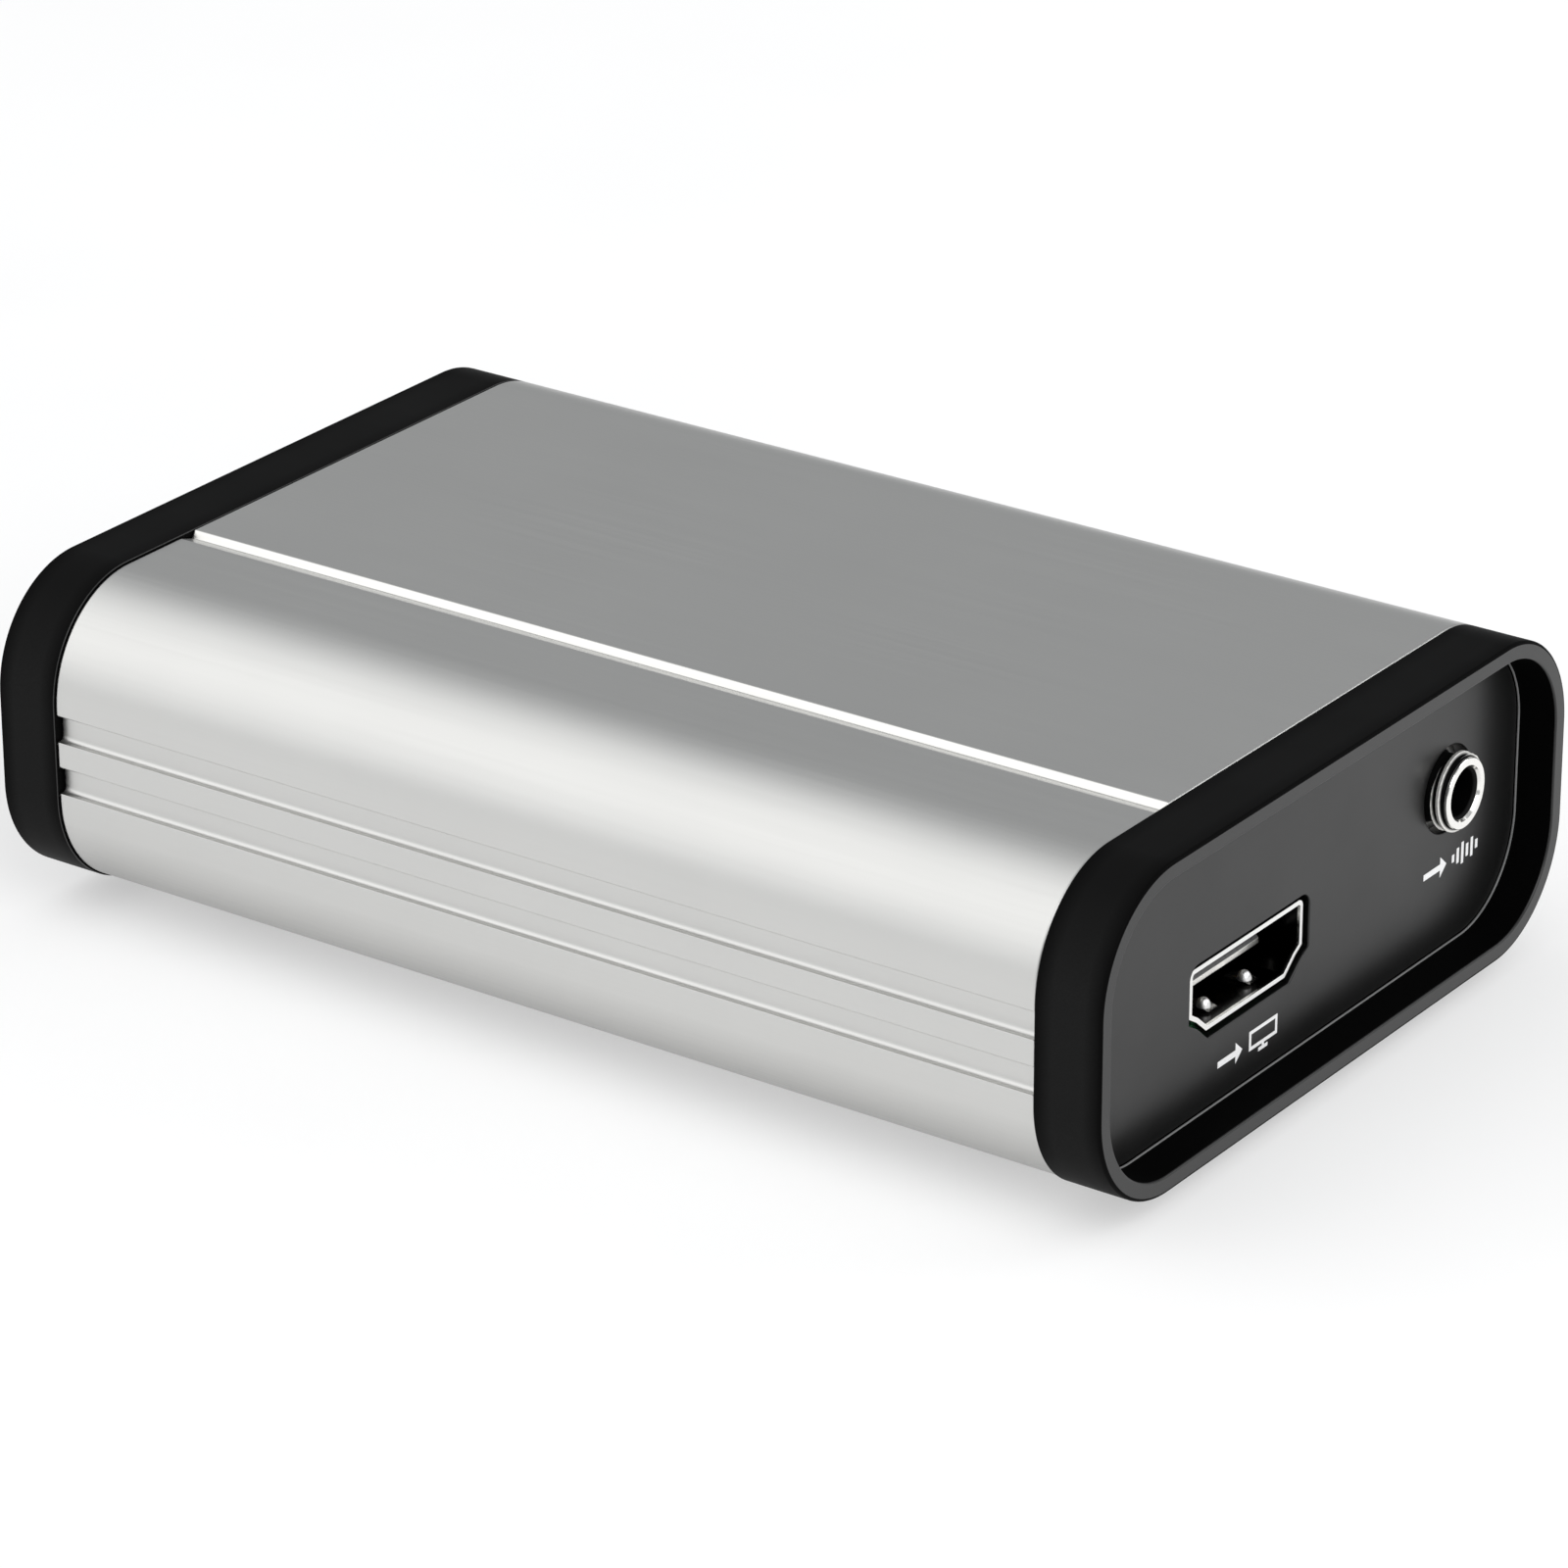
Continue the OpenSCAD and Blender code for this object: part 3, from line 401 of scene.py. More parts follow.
end_round = 0.25
ends = ((sleeve_low.x, 0, 0), (sleeve_high.x, 0, 0))
sleeve_skin = Skin()
sleeve_skin.sweep(sleeve_outline, left_edge(sleeve_low.x, end_round) + right_edge(sleeve_high.x, end_round))
for run in hollow_runs:
    for a, b in zip(run, run[1:]):
        sleeve_skin.add([on_ring(a, ends[0]), on_ring(b, ends[0]),
                         on_ring(b, ends[1]), on_ring(a, ends[1])])
rim = [[p - n * end_round for p, n in sleeve_outline], [p for run in hollow_runs for p, _ in run[:-1]]]
flat = [Vector((p.x, p.y, 0)) for p in rim[0] + rim[1]]
for triangle in tessellate_polygon([[Vector((p.x, p.y, 0)) for p in loop] for loop in rim]):
    a, b, c = (flat[i] for i in triangle)
    order = triangle if (b - a).cross(c - a).z > 0 else triangle[::-1]
    for (x, _, _), turn in ((ends[1], 1), (ends[0], -1)):
        sleeve_skin.add([((x, flat[i].x, flat[i].y + middle_z), Vector((turn, 0, 0)))
                         for i in order[::turn]])
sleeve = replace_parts(sleeve_skin.piece("sleeve_extrusion"), "sleeve")
print("sleeve:", len(sleeve.data.polygons), "faces")

# %% [markdown]
# The sleeve is blasted and clear anodised, so it is metal with a soft sheen rather than a mirror.
# Die lines run along the extrusion: noise stretched far along X makes them, and it moves the
# roughness and the surface by very little. A slow cloud of noise keeps large faces from looking
# computed. The narrow face of the step gets a brighter metal colour: a painted highlight for the
# bright line along the lit step. The lower curve of the real sleeve mirrors the shade on the
# ground. A pale table gives no such reflection, so a mask by height paints that shade into the
# metal there.

# %% Anodised aluminium
aluminium = Finish("anodised_aluminium", Metallic=1.0)
die_lines = aluminium.noise(0.22, stretch=(160, 1, 1), detail=4)
clouds = aluminium.noise(14, detail=2)
tone = aluminium.mix(clouds, (0.595, 0.594, 0.582), (0.63, 0.629, 0.615))
# Painted shade: below this height the metal is darker, standing in for the mirrored shade on the ground.
shade_middle, shade_reach, well_clear = 5.6, 3.4, half_depth * 2
above_shade = aluminium.inside((-well_clear, -well_clear, shade_middle),
                               (well_clear, well_clear, shade_middle + well_clear), shade_reach)
tone = aluminium.mix(above_shade, (0.345, 0.344, 0.337), tone)
# Painted highlight: the narrow face of the step is brighter metal.
edge_clear, past_crest = 0.02, 0.04
on_step = aluminium.inside((sleeve_low.x, step_foot + edge_clear, middle_z + high_z - trough_depth),
                           (sleeve_high.x, step_y + past_crest, middle_z + high_z - edge_clear))
aluminium.feed("Base Color", aluminium.mix(on_step, tone, (0.78, 0.775, 0.75)))
aluminium.feed("Roughness", aluminium.ramp(die_lines, 0.31, 0.39))
aluminium.bump(die_lines, 0.003, 0.3)
dress(sleeve, aluminium)
print("sleeve wears", sleeve.data.materials[0].name)

# %% [markdown]
# Each bezel is a moulded ring. Its section could be spun round a circle if the case were round.
# Here the section is carried round the case outline instead: every ring of points is the outline,
# set back by some amount. Near the bottom of the recess runs a fine snap bead that keeps the panel
# in, and two hidden tabs behind the ring centre it in the sleeve.

# %% Carry the section round the case
case_outline = rounded([(y * half_depth, z * half_height, corner_radius)
                        for y, z in ((-1, -1), (1, -1), (1, 1), (-1, 1))])
ring_start, ring_end = sleeve_high.x, bezel_high.x
rim_wall, ledge_wall, ledge_end = 1.35, inset + wall, ring_start + 0.8
edge_round, lip_round, seam_round, bead_radius = 0.25, 0.15, 0.06, 0.09
tab_half, tab_thickness, tab_play = 6.0, 1.0, 0.1
SIDE, RIM, BEAD, RECESS = range(4)
lip = [(ring_end - lip_round * (1 - math.cos(a)), rim_wall - lip_round * (1 - math.sin(a)), math.pi / 2 + a)
       for a in quarter]
bead_x = panel_face + bead_radius
bead_arc = [math.radians(b) for b in range(0, 181, 15)]
bead = [(bead_x + bead_radius * math.cos(b), rim_wall + bead_radius * math.sin(b), math.pi / 2 + b)
        for b in bead_arc]
outer_end, outer_rim = left_edge(ring_start, seam_round), right_edge(ring_end, edge_round)
inward, ahead, astern = math.pi, math.pi / 2, -math.pi / 2
section = [(outer_end, RIM),
           ([outer_end[-1], outer_rim[0]], SIDE),
           (outer_rim, SIDE),
           ([outer_rim[-1]] + lip, RIM),
           ([lip[-1], (bead[0][0], rim_wall, inward)], RECESS),
           (bead, BEAD),
           ([(bead[-1][0], rim_wall, inward), (ledge_end, rim_wall, inward)], RECESS),
           ([(ledge_end, rim_wall, ahead), (ledge_end, ledge_wall, ahead)], RECESS),
           ([(ledge_end, ledge_wall, inward), (ring_start, ledge_wall, inward)], RECESS),
           ([(ring_start, ledge_wall, astern), outer_end[0]], SIDE)]


def bezel(name, side):
    """The ring with its tabs at the input end (1) or the output end (-1)."""
    skin = Skin()
    for rings, finish in section:
        placed = [(side * x, shrink, side * tilt) for x, shrink, tilt in rings]
        skin.sweep(case_outline, placed[::side], finish)
    tab_top = hollow_z - tab_play
    for up in (1, -1):
        for x0, top in ((bezel_low.x, tab_top), (ring_start, hollow_z + wall / 2)):
            x = sorted((side * x0, side * ledge_end))
            z = sorted((middle_z + up * (tab_top - tab_thickness), middle_z + up * top))
            skin.block((x[0], -tab_half, z[0]), (x[1], tab_half, z[1]))
    return skin.piece(name)


bezels = [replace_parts(bezel("input_ring", 1), "input_bezel"),
          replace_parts(bezel("output_ring", -1), "output_bezel")]
print("bezels:", [len(b.data.polygons) for b in bezels], "faces")

# %% [markdown]
# The ring is black plastic with a fine spark-eroded grain, which scatters so much that its sides
# hardly reflect. Masks by position paint shade on it: a little darker on the top and towards both
# edges of each ring. The face of the rim was polished in the mould and does reflect the table. The
# recess is painted darker than the rest of the ring, as painted shade, and the bead is painted light
# grey, a painted highlight for the thin bright line along the panel's edge.

# %% Black moulded bezels
# Painted shade on the bezels: the greys for the darker top and the darker edges.
painted_top_shade, painted_edge_shade = (0.0055, 0.0055, 0.0055), (0.002, 0.002, 0.002)
flank_height, flank_blur, edge_fade = half_height - 4, 3, 0.7
past_ends, past_sides, past_top, past_floor = 50, 40, 40, -1


def ring_painted_shade(finish, tone):
    """Painted shade: darker on the top of each ring and towards its two edges."""
    on_flank = finish.inside((-past_ends, -past_sides, middle_z - flank_height),
                             (past_ends, past_sides, middle_z + flank_height), flank_blur)
    tone = finish.mix(on_flank, painted_top_shade, tone)
    before_rim, over_sleeve = (
        finish.inside((-edge, -past_sides, past_floor), (edge, past_sides, past_top), edge_fade)
        for edge in (ring_end - edge_fade, ring_start + edge_fade))
    return finish.mix(over_sleeve, finish.mix(before_rim, painted_edge_shade, tone), painted_edge_shade)


def moulded(name, low, high, rough, specular, shade_painter=None):
    """A plastic with fine grain between two greys, slow changes in its gloss, and any painted shade."""
    finish = Finish(name, Specular_IOR_Level=specular)
    grain = finish.noise(0.12, detail=2)
    tone = finish.ramp(grain, low, high)
    finish.feed("Base Color", shade_painter(finish, tone) if shade_painter else tone)
    finish.feed("Roughness", finish.ramp(finish.noise(9), *rough))
    finish.bump(grain, 0.004, 0.4)
    return finish


bezel_finishes = [moulded("bezel_black", 0.0095, 0.0125, (0.46, 0.54), 0.022, ring_painted_shade),
                  moulded("bezel_rim", 0.008, 0.012, (0.28, 0.34), 0.47),
                  # Painted highlight: the bead is light grey.
                  moulded("bead_painted_highlight", 0.15, 0.2, (0.3, 0.36), 0.5),
                  # Painted shade: the recess is near black.
                  moulded("recess_painted_shade", 0.001, 0.002, (0.5, 0.6), 0.02)]
for ring in bezels:
    dress(ring, bezel_finishes)
print("bezels wear", [f.material.name for f in bezel_finishes])

# %% [markdown]
# Stamped and moulded pieces with sharp solids need real edges, because an edge without a radius
# never catches light. A bevel modifier would do on a clean mesh, but the solids come in with their
# faces split apart. This helper makes a copy whose faces are joined again, bevels its sharp edges
# and lets the large faces decide the shading.

# %% A helper that softens a solid's edges
def softened(node, radius, finish, name):
    """A copy of a solid with its sharp edges rounded by radius, standing in for that solid."""
    mesh = nodes[node].data.copy()
    work = bmesh.new()
    work.from_mesh(mesh)
    bmesh.ops.remove_doubles(work, verts=work.verts, dist=0.002 * MM)
    bmesh.ops.dissolve_limit(work, angle_limit=math.radians(0.5), verts=work.verts, edges=work.edges)
    for face in work.faces:
        face.smooth = True
    work.to_mesh(mesh)
    work.free()
    if "custom_normal" in mesh.attributes:
        mesh.attributes.remove(mesh.attributes["custom_normal"])
    piece = bpy.data.objects.new(name, mesh)
    scene.collection.objects.link(piece)
    bevel = piece.modifiers.new("edge_radius", "BEVEL")
    bevel.width = radius * MM
    bevel.segments = 3
    bevel.angle_limit = math.radians(35)
    bevel.use_clamp_overlap = True
    bevel.harden_normals = True
    weight = piece.modifiers.new("face_shading", "WEIGHTED_NORMAL")
    weight.keep_sharp = True
    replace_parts(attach(piece, "root"), node)
    return dress(piece, finish)


print("softening helper ready")

# %% [markdown]
# The panels lie at the bottom of the recesses. They are moulded in a charcoal plastic that is
# glossier than the bezels, so they mirror the table and darken where they mirror the recess.
# Behind the face, on the walls of the cut-outs, the plastic is painted near black: painted shade in the
# gaps round the sockets.

# %% Charcoal panels
panel_charcoal = Finish("panel_charcoal", Specular_IOR_Level=0.44)
panel_grain = panel_charcoal.noise(0.1, detail=2)
# Painted shade: behind the face the panel is near black.
face_skin = 0.1
behind_face = panel_charcoal.inside((-panel_face + face_skin, -half_depth, 0),
                                    (panel_face - face_skin, half_depth, past_top))
charcoal = panel_charcoal.ramp(panel_grain, 0.007, 0.01)
panel_charcoal.feed("Base Color", panel_charcoal.mix(behind_face, charcoal, (0.001, 0.001, 0.001)))
panel_charcoal.feed("Roughness", panel_charcoal.ramp(panel_charcoal.noise(7), 0.29, 0.35))
panel_charcoal.bump(panel_grain, 0.003, 0.35)
panel_edge = 0.12
input_plate = softened("input_panel", panel_edge, panel_charcoal, "input_plate")
output_plate = softened("output_panel", panel_edge, panel_charcoal, "output_plate")
print("panels:", input_plate.name, output_plate.name)

# %% [markdown]
# The video socket is a stamped and folded shell of nickel-plated steel round a black tongue. The
# shell is bright nickel, and so are the two springs on its floor. Each spring carries a low dimple
# that presses on the plug, which wipes it clean and fills it with fine scratches. Inside the mouth,
# masks by position paint the other walls near black: painted shade.

# %% The shell of the video socket
shell_low, shell_high = box_mm("video_socket_shell")
shell_wall, bright_rim = 0.35, 0.2
mouth_y = (shell_low.y + shell_high.y) / 2
mouth_z = (board_high.z + shell_high.z) / 2
floor_z = board_high.z + shell_wall
nickel = Finish("plated_socket_steel", Metallic=1.0)
rolled = nickel.noise(0.3, stretch=(6, 1, 1), detail=3)
bright = nickel.ramp(rolled, (0.95, 0.945, 0.93), (0.98, 0.975, 0.96))
# Painted shade: the walls inside the mouth are near black, except on the two springs.
in_wall, past_back, in_floor = shell_wall * 0.7, 1, 0.1
in_socket = nickel.inside((shell_low.x - past_back, shell_low.y + in_wall, floor_z - in_floor),
                          (shell_high.x - bright_rim, shell_high.y - in_wall, shell_high.z - in_wall), 0.04)
socket_tone = nickel.mix(in_socket, bright, (0.012, 0.012, 0.012))
spring_y, bright_half, bright_back, bright_front = 2.65, 0.65, 3.7, 0.5
bright_low, bright_high = floor_z + 0.04, floor_z + 1.0
for side in (-1, 1):
    y = mouth_y + side * spring_y
    on_spring = nickel.inside((shell_high.x - bright_back, y - bright_half, bright_low),
                              (shell_high.x - bright_front, y + bright_half, bright_high))
    socket_tone = nickel.mix(on_spring, socket_tone, bright)
nickel.feed("Base Color", socket_tone)
nickel.feed("Roughness", nickel.ramp(rolled, 0.16, 0.24))
softened("video_socket_shell", 0.025, nickel, "video_shell")


def dimples(name, centres, reach):
    """Low domes, each half an ellipsoid over its centre, with the reach given for each axis."""
    skin = Skin()
    across, rise = 24, 6
    for centre in centres:
        def at(i, j):
            lift, turn = math.pi / 2 * i / rise, 2 * math.pi * j / across
            level = math.cos(lift)
            unit = Vector((level * math.cos(turn), level * math.sin(turn), math.sin(lift)))
            point = tuple(c + u * r for c, u, r in zip(centre, unit, reach))
            return point, Vector([u / r for u, r in zip(unit, reach)])

        for j in range(across):
            for i in range(rise):
                skin.add([at(i, j), at(i, j + 1), at(i + 1, j + 1), at(i + 1, j)])
        skin.add([(at(0, -j)[0], Vector((0, 0, -1))) for j in range(across)])
    return skin.piece(name)


dimple_x, dimple_z = shell_high.x - 1.5, floor_z + 0.3
dimple_aside, dimple_reach = 0.45, (0.55, 0.5, 0.7)
dimple_centres = [(dimple_x, mouth_y + side * spring_y - dimple_aside, dimple_z) for side in (-1, 1)]
spring_dimples = dimples("spring_dimples", dimple_centres, dimple_reach)
wiped_steel = grained("wiped_steel", 0.2, (0.95, 0.945, 0.93), (0.99, 0.985, 0.97), (0.36, 0.44),
                      stretch=(6, 1, 1), Metallic=1.0)
dress(spring_dimples, wiped_steel)
print("video socket mouth at x", round(shell_high.x, 2), "y", round(mouth_y, 2), "z", round(mouth_z, 2))

# %% [markdown]
# The tongue is black plastic. A bright metal band is painted along its flat front: a painted
# highlight for the bright line of its lit front edge. Just behind that band the top of the tongue
# is painted grey, painted light near the mouth. The gold contacts start further in.

# %% The tongue and its contacts
insulator_black = grained("insulator_black", 0.5, 0.003, 0.007, (0.3, 0.42), stretch=(3, 1, 1),
                          relief=(0.003, 0.3), Specular_IOR_Level=0.4)

tongue_high = box_mm("video_socket_tongue")[1]
tongue_drop, tongue_half, past_front = 0.35, 6, 1
highlight_half, highlight_depth, nose_depth, nose_height = 0.2, 0.04, 0.45, 2
tongue_z = mouth_z - tongue_drop
# Painted highlight along the front edge, painted light on the top just behind it.
tongue_black = Finish("tongue_with_painted_light", Specular_IOR_Level=0.4)
flow = tongue_black.noise(0.5, stretch=(3, 1, 1))
near_y, far_y, ahead_x = mouth_y - tongue_half, mouth_y + tongue_half, tongue_high.x + past_front
on_painted_highlight = tongue_black.inside((tongue_high.x - highlight_depth, near_y, tongue_z - highlight_half),
                               (ahead_x, far_y, tongue_z + highlight_half))
on_nose = tongue_black.inside((tongue_high.x - nose_depth, near_y, tongue_z + highlight_half),
                              (ahead_x, far_y, tongue_z + nose_height))
tongue_tone = tongue_black.mix(on_nose, tongue_black.ramp(flow, 0.003, 0.007), (0.1, 0.1, 0.1))
tongue_black.feed("Base Color", tongue_black.mix(on_painted_highlight, tongue_tone, (0.95, 0.94, 0.9)))
tongue_black.feed("Metallic", tongue_black.ramp(on_painted_highlight, 0.0, 1.0, start=0.4, end=0.6))
tongue_black.feed("Roughness", tongue_black.ramp(flow, 0.25, 0.35))
softened("video_socket_tongue", 0.04, tongue_black, "video_tongue")

gold = grained("gold_plated_spring", 0.15, (0.72, 0.5, 0.16), (0.86, 0.64, 0.27), (0.18, 0.3),
               stretch=(8, 1, 1), Metallic=1.0)
dress("video_socket_contacts", gold)
print("tongue front at x", round(tongue_high.x, 2))

# %% [markdown]
# The audio jack shows only its threaded bush. A stack of rings would look right from afar, but a
# real thread climbs. So the outside is a grid of points whose radius follows a wave along the
# axis, and the wave is shifted by one pitch over each turn. The nose in front of it is plain, and
# an undercut at each end lets the thread run out.

# %% A bush with a real thread
bush_low, bush_high = box_mm("audio_jack_bush")
bush_axis = Vector((0, (bush_low.y + bush_high.y) / 2, (bush_low.z + bush_high.z) / 2))
bush_radius, nose_radius, bore_radius, nose_chamfer = 2.975, 2.68, 1.8, 0.05
mouth_radius, mouth_depth = 2.12, 0.5
flange_radius, bush_root = (bush_high.y - bush_low.y) / 2, 2.6
flange_gap = 0.2
flange_start, flange_end = sleeve_high.x + flange_gap, ledge_end
thread_pitch, thread_depth, nose_length, thread_start = 0.62, 0.42, 0.24, 0.79
nose_undercut, back_undercut, runout, flange_fillet = 0.15, 0.98, 0.06, 0.1
groove_gain, crest_share = 2.2, 0.6
around, row_spacing = 96, 0.02


def profile_line(*stations):
    """Stations (x, radius) joined by steps short enough for a smooth thread."""
    line = []
    for (x0, r0), (x1, r1) in zip(stations, stations[1:]):
        steps = max(1, round(abs(x1 - x0) / row_spacing))
        line += [(x0 + (x1 - x0) * i / steps, r0 + (r1 - r0) * i / steps) for i in range(steps)]
    return line + [stations[-1]]


thread_end = bush_high.x - nose_length
bush_line = profile_line(
    (bush_low.x, bore_radius), (bush_low.x, bush_root), (flange_start, bush_root),
    (flange_start, flange_radius), (flange_end, flange_radius), (flange_end, bush_radius),
    (thread_end, bush_radius), (thread_end, nose_radius),
    (bush_high.x - nose_chamfer, nose_radius), (bush_high.x, nose_radius - nose_chamfer),
    (bush_high.x, mouth_radius), (bush_high.x - mouth_depth, bore_radius),
    (bush_low.x, bore_radius))


def threaded(x, radius, turn):
    """The radius with the thread cut into it, where the bush carries its thread."""
    if radius < bush_radius - 0.001 or not flange_end < x <= thread_end:
        return radius
    behind_nose = thread_end - x
    undercut = max(behind_nose - back_undercut, nose_undercut - behind_nose) / runout
    wave = (1 - math.cos(2 * math.pi * (behind_nose / thread_pitch + turn + thread_start))) / 2
    groove = wave * groove_gain - crest_share
    fade = min(1, (x - flange_end) / flange_fillet)
    return radius - thread_depth * fade * max(0, min(1, max(undercut, groove)))


mesh = bpy.data.meshes.new("threaded_bush")
points, faces = [], []
for x, radius in bush_line[:-1]:
    for i in range(around):
        turn = i / around
        r = threaded(x, radius, turn)
        points.append(Vector((x, bush_axis.y + r * math.cos(2 * math.pi * turn),
                              bush_axis.z + r * math.sin(2 * math.pi * turn))) * MM)
stations = len(bush_line) - 1
for s in range(stations):
    for i in range(around):
        j, t = (i + 1) % around, (s + 1) % stations
        faces.append((s * around + i, t * around + i, t * around + j, s * around + j))
mesh.from_pydata(points, [], [f[::-1] for f in faces])
mesh.polygons.foreach_set("use_smooth", [True] * len(mesh.polygons))
mesh.set_sharp_from_angle(angle=math.radians(38))
bush = bpy.data.objects.new("threaded_bush", mesh)
scene.collection.objects.link(bush)
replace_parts(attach(bush, "root"), "audio_jack_bush")
print("bush:", stations, "stations round", around, "points")

# %% [markdown]
# The bush is turned from brass and nickel plated. Turning leaves rings, which a wave texture would
# repeat too evenly, so fine noise that is thin along the axis stands in for them. The roots of the
# thread and the bore are painted dark with their distance from the axis: painted shade.

# %% Nickel on the bush, and what lies behind it
bush_nickel = Finish("turned_nickel", Metallic=1.0)
tool_marks = bush_nickel.noise(0.25, stretch=(0.3, 1, 1), detail=2)
plated = bush_nickel.ramp(tool_marks, (0.91, 0.9, 0.87), (0.95, 0.94, 0.91))
off_axis = bush_nickel.off_axis(bush_axis)
# Painted shade: dark in the roots of the thread and in the bore.
dark_root, bright_crest, past_thread, bore_dark, bore_bright = 2.72, 2.86, 0.03, 0.02, 0.06
on_thread = bush_nickel.inside((flange_end, bush_low.y, bush_low.z),
                               (thread_end + past_thread, bush_high.y, bush_high.z))
on_crest = bush_nickel.level(off_axis, dark_root, bright_crest)
thread_tone = bush_nickel.mix(on_crest, (0.015, 0.015, 0.015), plated)
outside = bush_nickel.mix(on_thread, plated, thread_tone)
past_bore = bush_nickel.level(off_axis, bore_radius + bore_dark, bore_radius + bore_bright)
bush_nickel.feed("Base Color", bush_nickel.mix(past_bore, (0.006, 0.006, 0.006), outside))
polish = bush_nickel.ramp(tool_marks, 0.14, 0.2)
bush_nickel.feed("Roughness", bush_nickel.mix(on_thread, polish, (0.6, 0.6, 0.6)))
dress(bush, bush_nickel)
dress("audio_jack_body", insulator_black)
for spring in ("audio_jack_tip_spring", "audio_jack_ring_spring"):
    dress(spring, gold)
print("audio jack dressed")

# %% [markdown]
# Small white marks under the two inputs say what goes in: an arrow into a screen, and an arrow
# into a row of sound bars. They are pad-printed ink, so each is a film a few hundredths of a
# millimetre thick that lies on the panel.

# %% Printed marks
ink_gap, ink_film = 0.002, 0.02
arrow_length, arrow_height = 3.2, 1.6
screen_width, screen_height, screen_line, stand_height, stand_half = 3.7, 1.5, 0.27, 0.2, 0.6
bar_line, bar_pitch, bar_heights = 0.33, 0.66, (0.6, 1.2, 1.7, 1.0, 1.5, 0.7)


def bar(y0, z0, y1, z1):
    return [(y0, z0), (y1, z0), (y1, z1), (y0, z1)]


def arrow(y, z):
    """An arrow that points along +Y from y, as a shaft and a head."""
    head, shaft = arrow_height * 0.55, arrow_height * 0.15
    neck, tip = y + arrow_length - head, y + arrow_length
    return [bar(y, z - shaft, neck, z + shaft),
            [(neck, z - arrow_height / 2), (tip, z), (neck, z + arrow_height / 2)]]


def screen(y, z):
    """A screen on a short stand, drawn in lines."""
    line, end, middle = screen_line, y + screen_width, y + screen_width / 2
    low, high = z - screen_height / 2, z + screen_height / 2
    foot = low - stand_height
    return [bar(y, low, end, low + line), bar(y, high - line, end, high),
            bar(y, low + line, y + line, high - line),
            bar(end - line, low + line, end, high - line),
            bar(middle - line / 2, foot, middle + line / 2, low),
            bar(middle - stand_half, foot - line, middle + stand_half, foot)]


def sound_bars(y, z):
    starts = [y + i * bar_pitch for i in range(len(bar_heights))]
    return [bar(start, z - h / 2, start + bar_line, z + h / 2) for start, h in zip(starts, bar_heights)]


def printed(name, shapes, ink):
    """A film of ink on the input panel, from outlines in Y and Z."""
    film = bmesh.new()
    for shape in shapes:
        face = film.faces.new([film.verts.new(Vector((panel_face + ink_gap, y, z)) * MM) for y, z in shape])
        top = bmesh.ops.extrude_face_region(film, geom=[face])["geom"]
        moved = [g for g in top if isinstance(g, bmesh.types.BMVert)]
        bmesh.ops.translate(film, verts=moved, vec=(ink_film * MM, 0, 0))
    bmesh.ops.recalc_face_normals(film, faces=film.faces)
    mesh = bpy.data.meshes.new(name)
    film.to_mesh(mesh)
    film.free()
    piece = bpy.data.objects.new(name, mesh)
    scene.collection.objects.link(piece)
    return dress(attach(piece, "root"), ink)


ink_white = Finish("printed_ink", Roughness=0.55)
ink_white.feed("Base Color", ink_white.ramp(ink_white.noise(0.15), 0.88, 0.96))
video_mark_z, audio_mark_z = mouth_z - 5.7, bush_axis.z - 5.9
video_mark = printed("video_mark", arrow(mouth_y - 4.0, video_mark_z)
                     + screen(mouth_y + 0.1, video_mark_z + 0.15), ink_white)
audio_mark = printed("audio_mark", arrow(bush_axis.y - 3.1, audio_mark_z)
                     + sound_bars(bush_axis.y + 0.9, audio_mark_z), ink_white)
print("marks:", video_mark.name, audio_mark.name)

# %% [markdown]
# The far end is plainer: a small data socket, and a light pipe that carries the status light to
# the panel. The pipe is clear, so its shader lets light through. A faint haze of noise in its
# roughness keeps it from looking like glass.

# %% The output end
softened("data_socket_shell", 0.06, nickel, "data_shell")
softened("data_socket_tongue", 0.05, insulator_black, "data_tongue")
dress("data_socket_contacts", gold)

clear_plastic = grained("clear_light_guide", 0.8, (0.82, 0.88, 0.9), (0.95, 0.97, 0.98), (0.08, 0.22),
                        Transmission_Weight=0.85, IOR=1.49)
dress("light_pipe", clear_plastic)

led_white = Finish("led_housing", Roughness=0.4)
led_white.feed("Base Color", led_white.ramp(led_white.noise(0.4), (0.72, 0.72, 0.66), (0.88, 0.88, 0.82)))
dress("status_led", led_white)
print("output end dressed")

# %% [markdown]
# The circuit board is out of sight, but the part can be opened, so it is finished too. Green resist
# over copper shows the tracks as slightly raised, lighter lines. A brick pattern with uneven rows
# gives short right-angled runs that read as tracks from a hand's width away.

# %% The circuit board
board_green = Finish("board_resist", Specular_IOR_Level=0.5)
tracks = board_green.tree.nodes.new("ShaderNodeTexBrick")
tracks.inputs["Scale"].default_value = 1.0
tracks.inputs["Mortar Size"].default_value = 0.035
tracks.inputs["Color1"].default_value = (0, 0, 0, 1)
tracks.inputs["Color2"].default_value = (0, 0, 0, 1)
tracks.inputs["Mortar"].default_value = (1, 1, 1, 1)
per_track = 1 / (4 * MM)
board_green.link(board_green.vector("MULTIPLY", board_green.place, (per_track, per_track, 0)),
                 tracks.inputs["Vector"])
resist = board_green.ramp(board_green.noise(0.5), (0.012, 0.085, 0.035), (0.02, 0.12, 0.05))
board_green.feed("Base Color", board_green.mix(tracks.outputs["Color"], resist, (0.05, 0.22, 0.09)))
board_green.feed("Roughness", board_green.ramp(board_green.noise(3), 0.3, 0.42))
board_green.bump(tracks.outputs["Color"], 0.03, 0.6)
dress("main_board", board_green)
print("board dressed")

# %% [markdown]
# Each leaded chip is one solid: a black moulded body with bent tin leads. A box that is drawn
# just round the body parts the two finishes, so the leads turn to metal where they leave it.

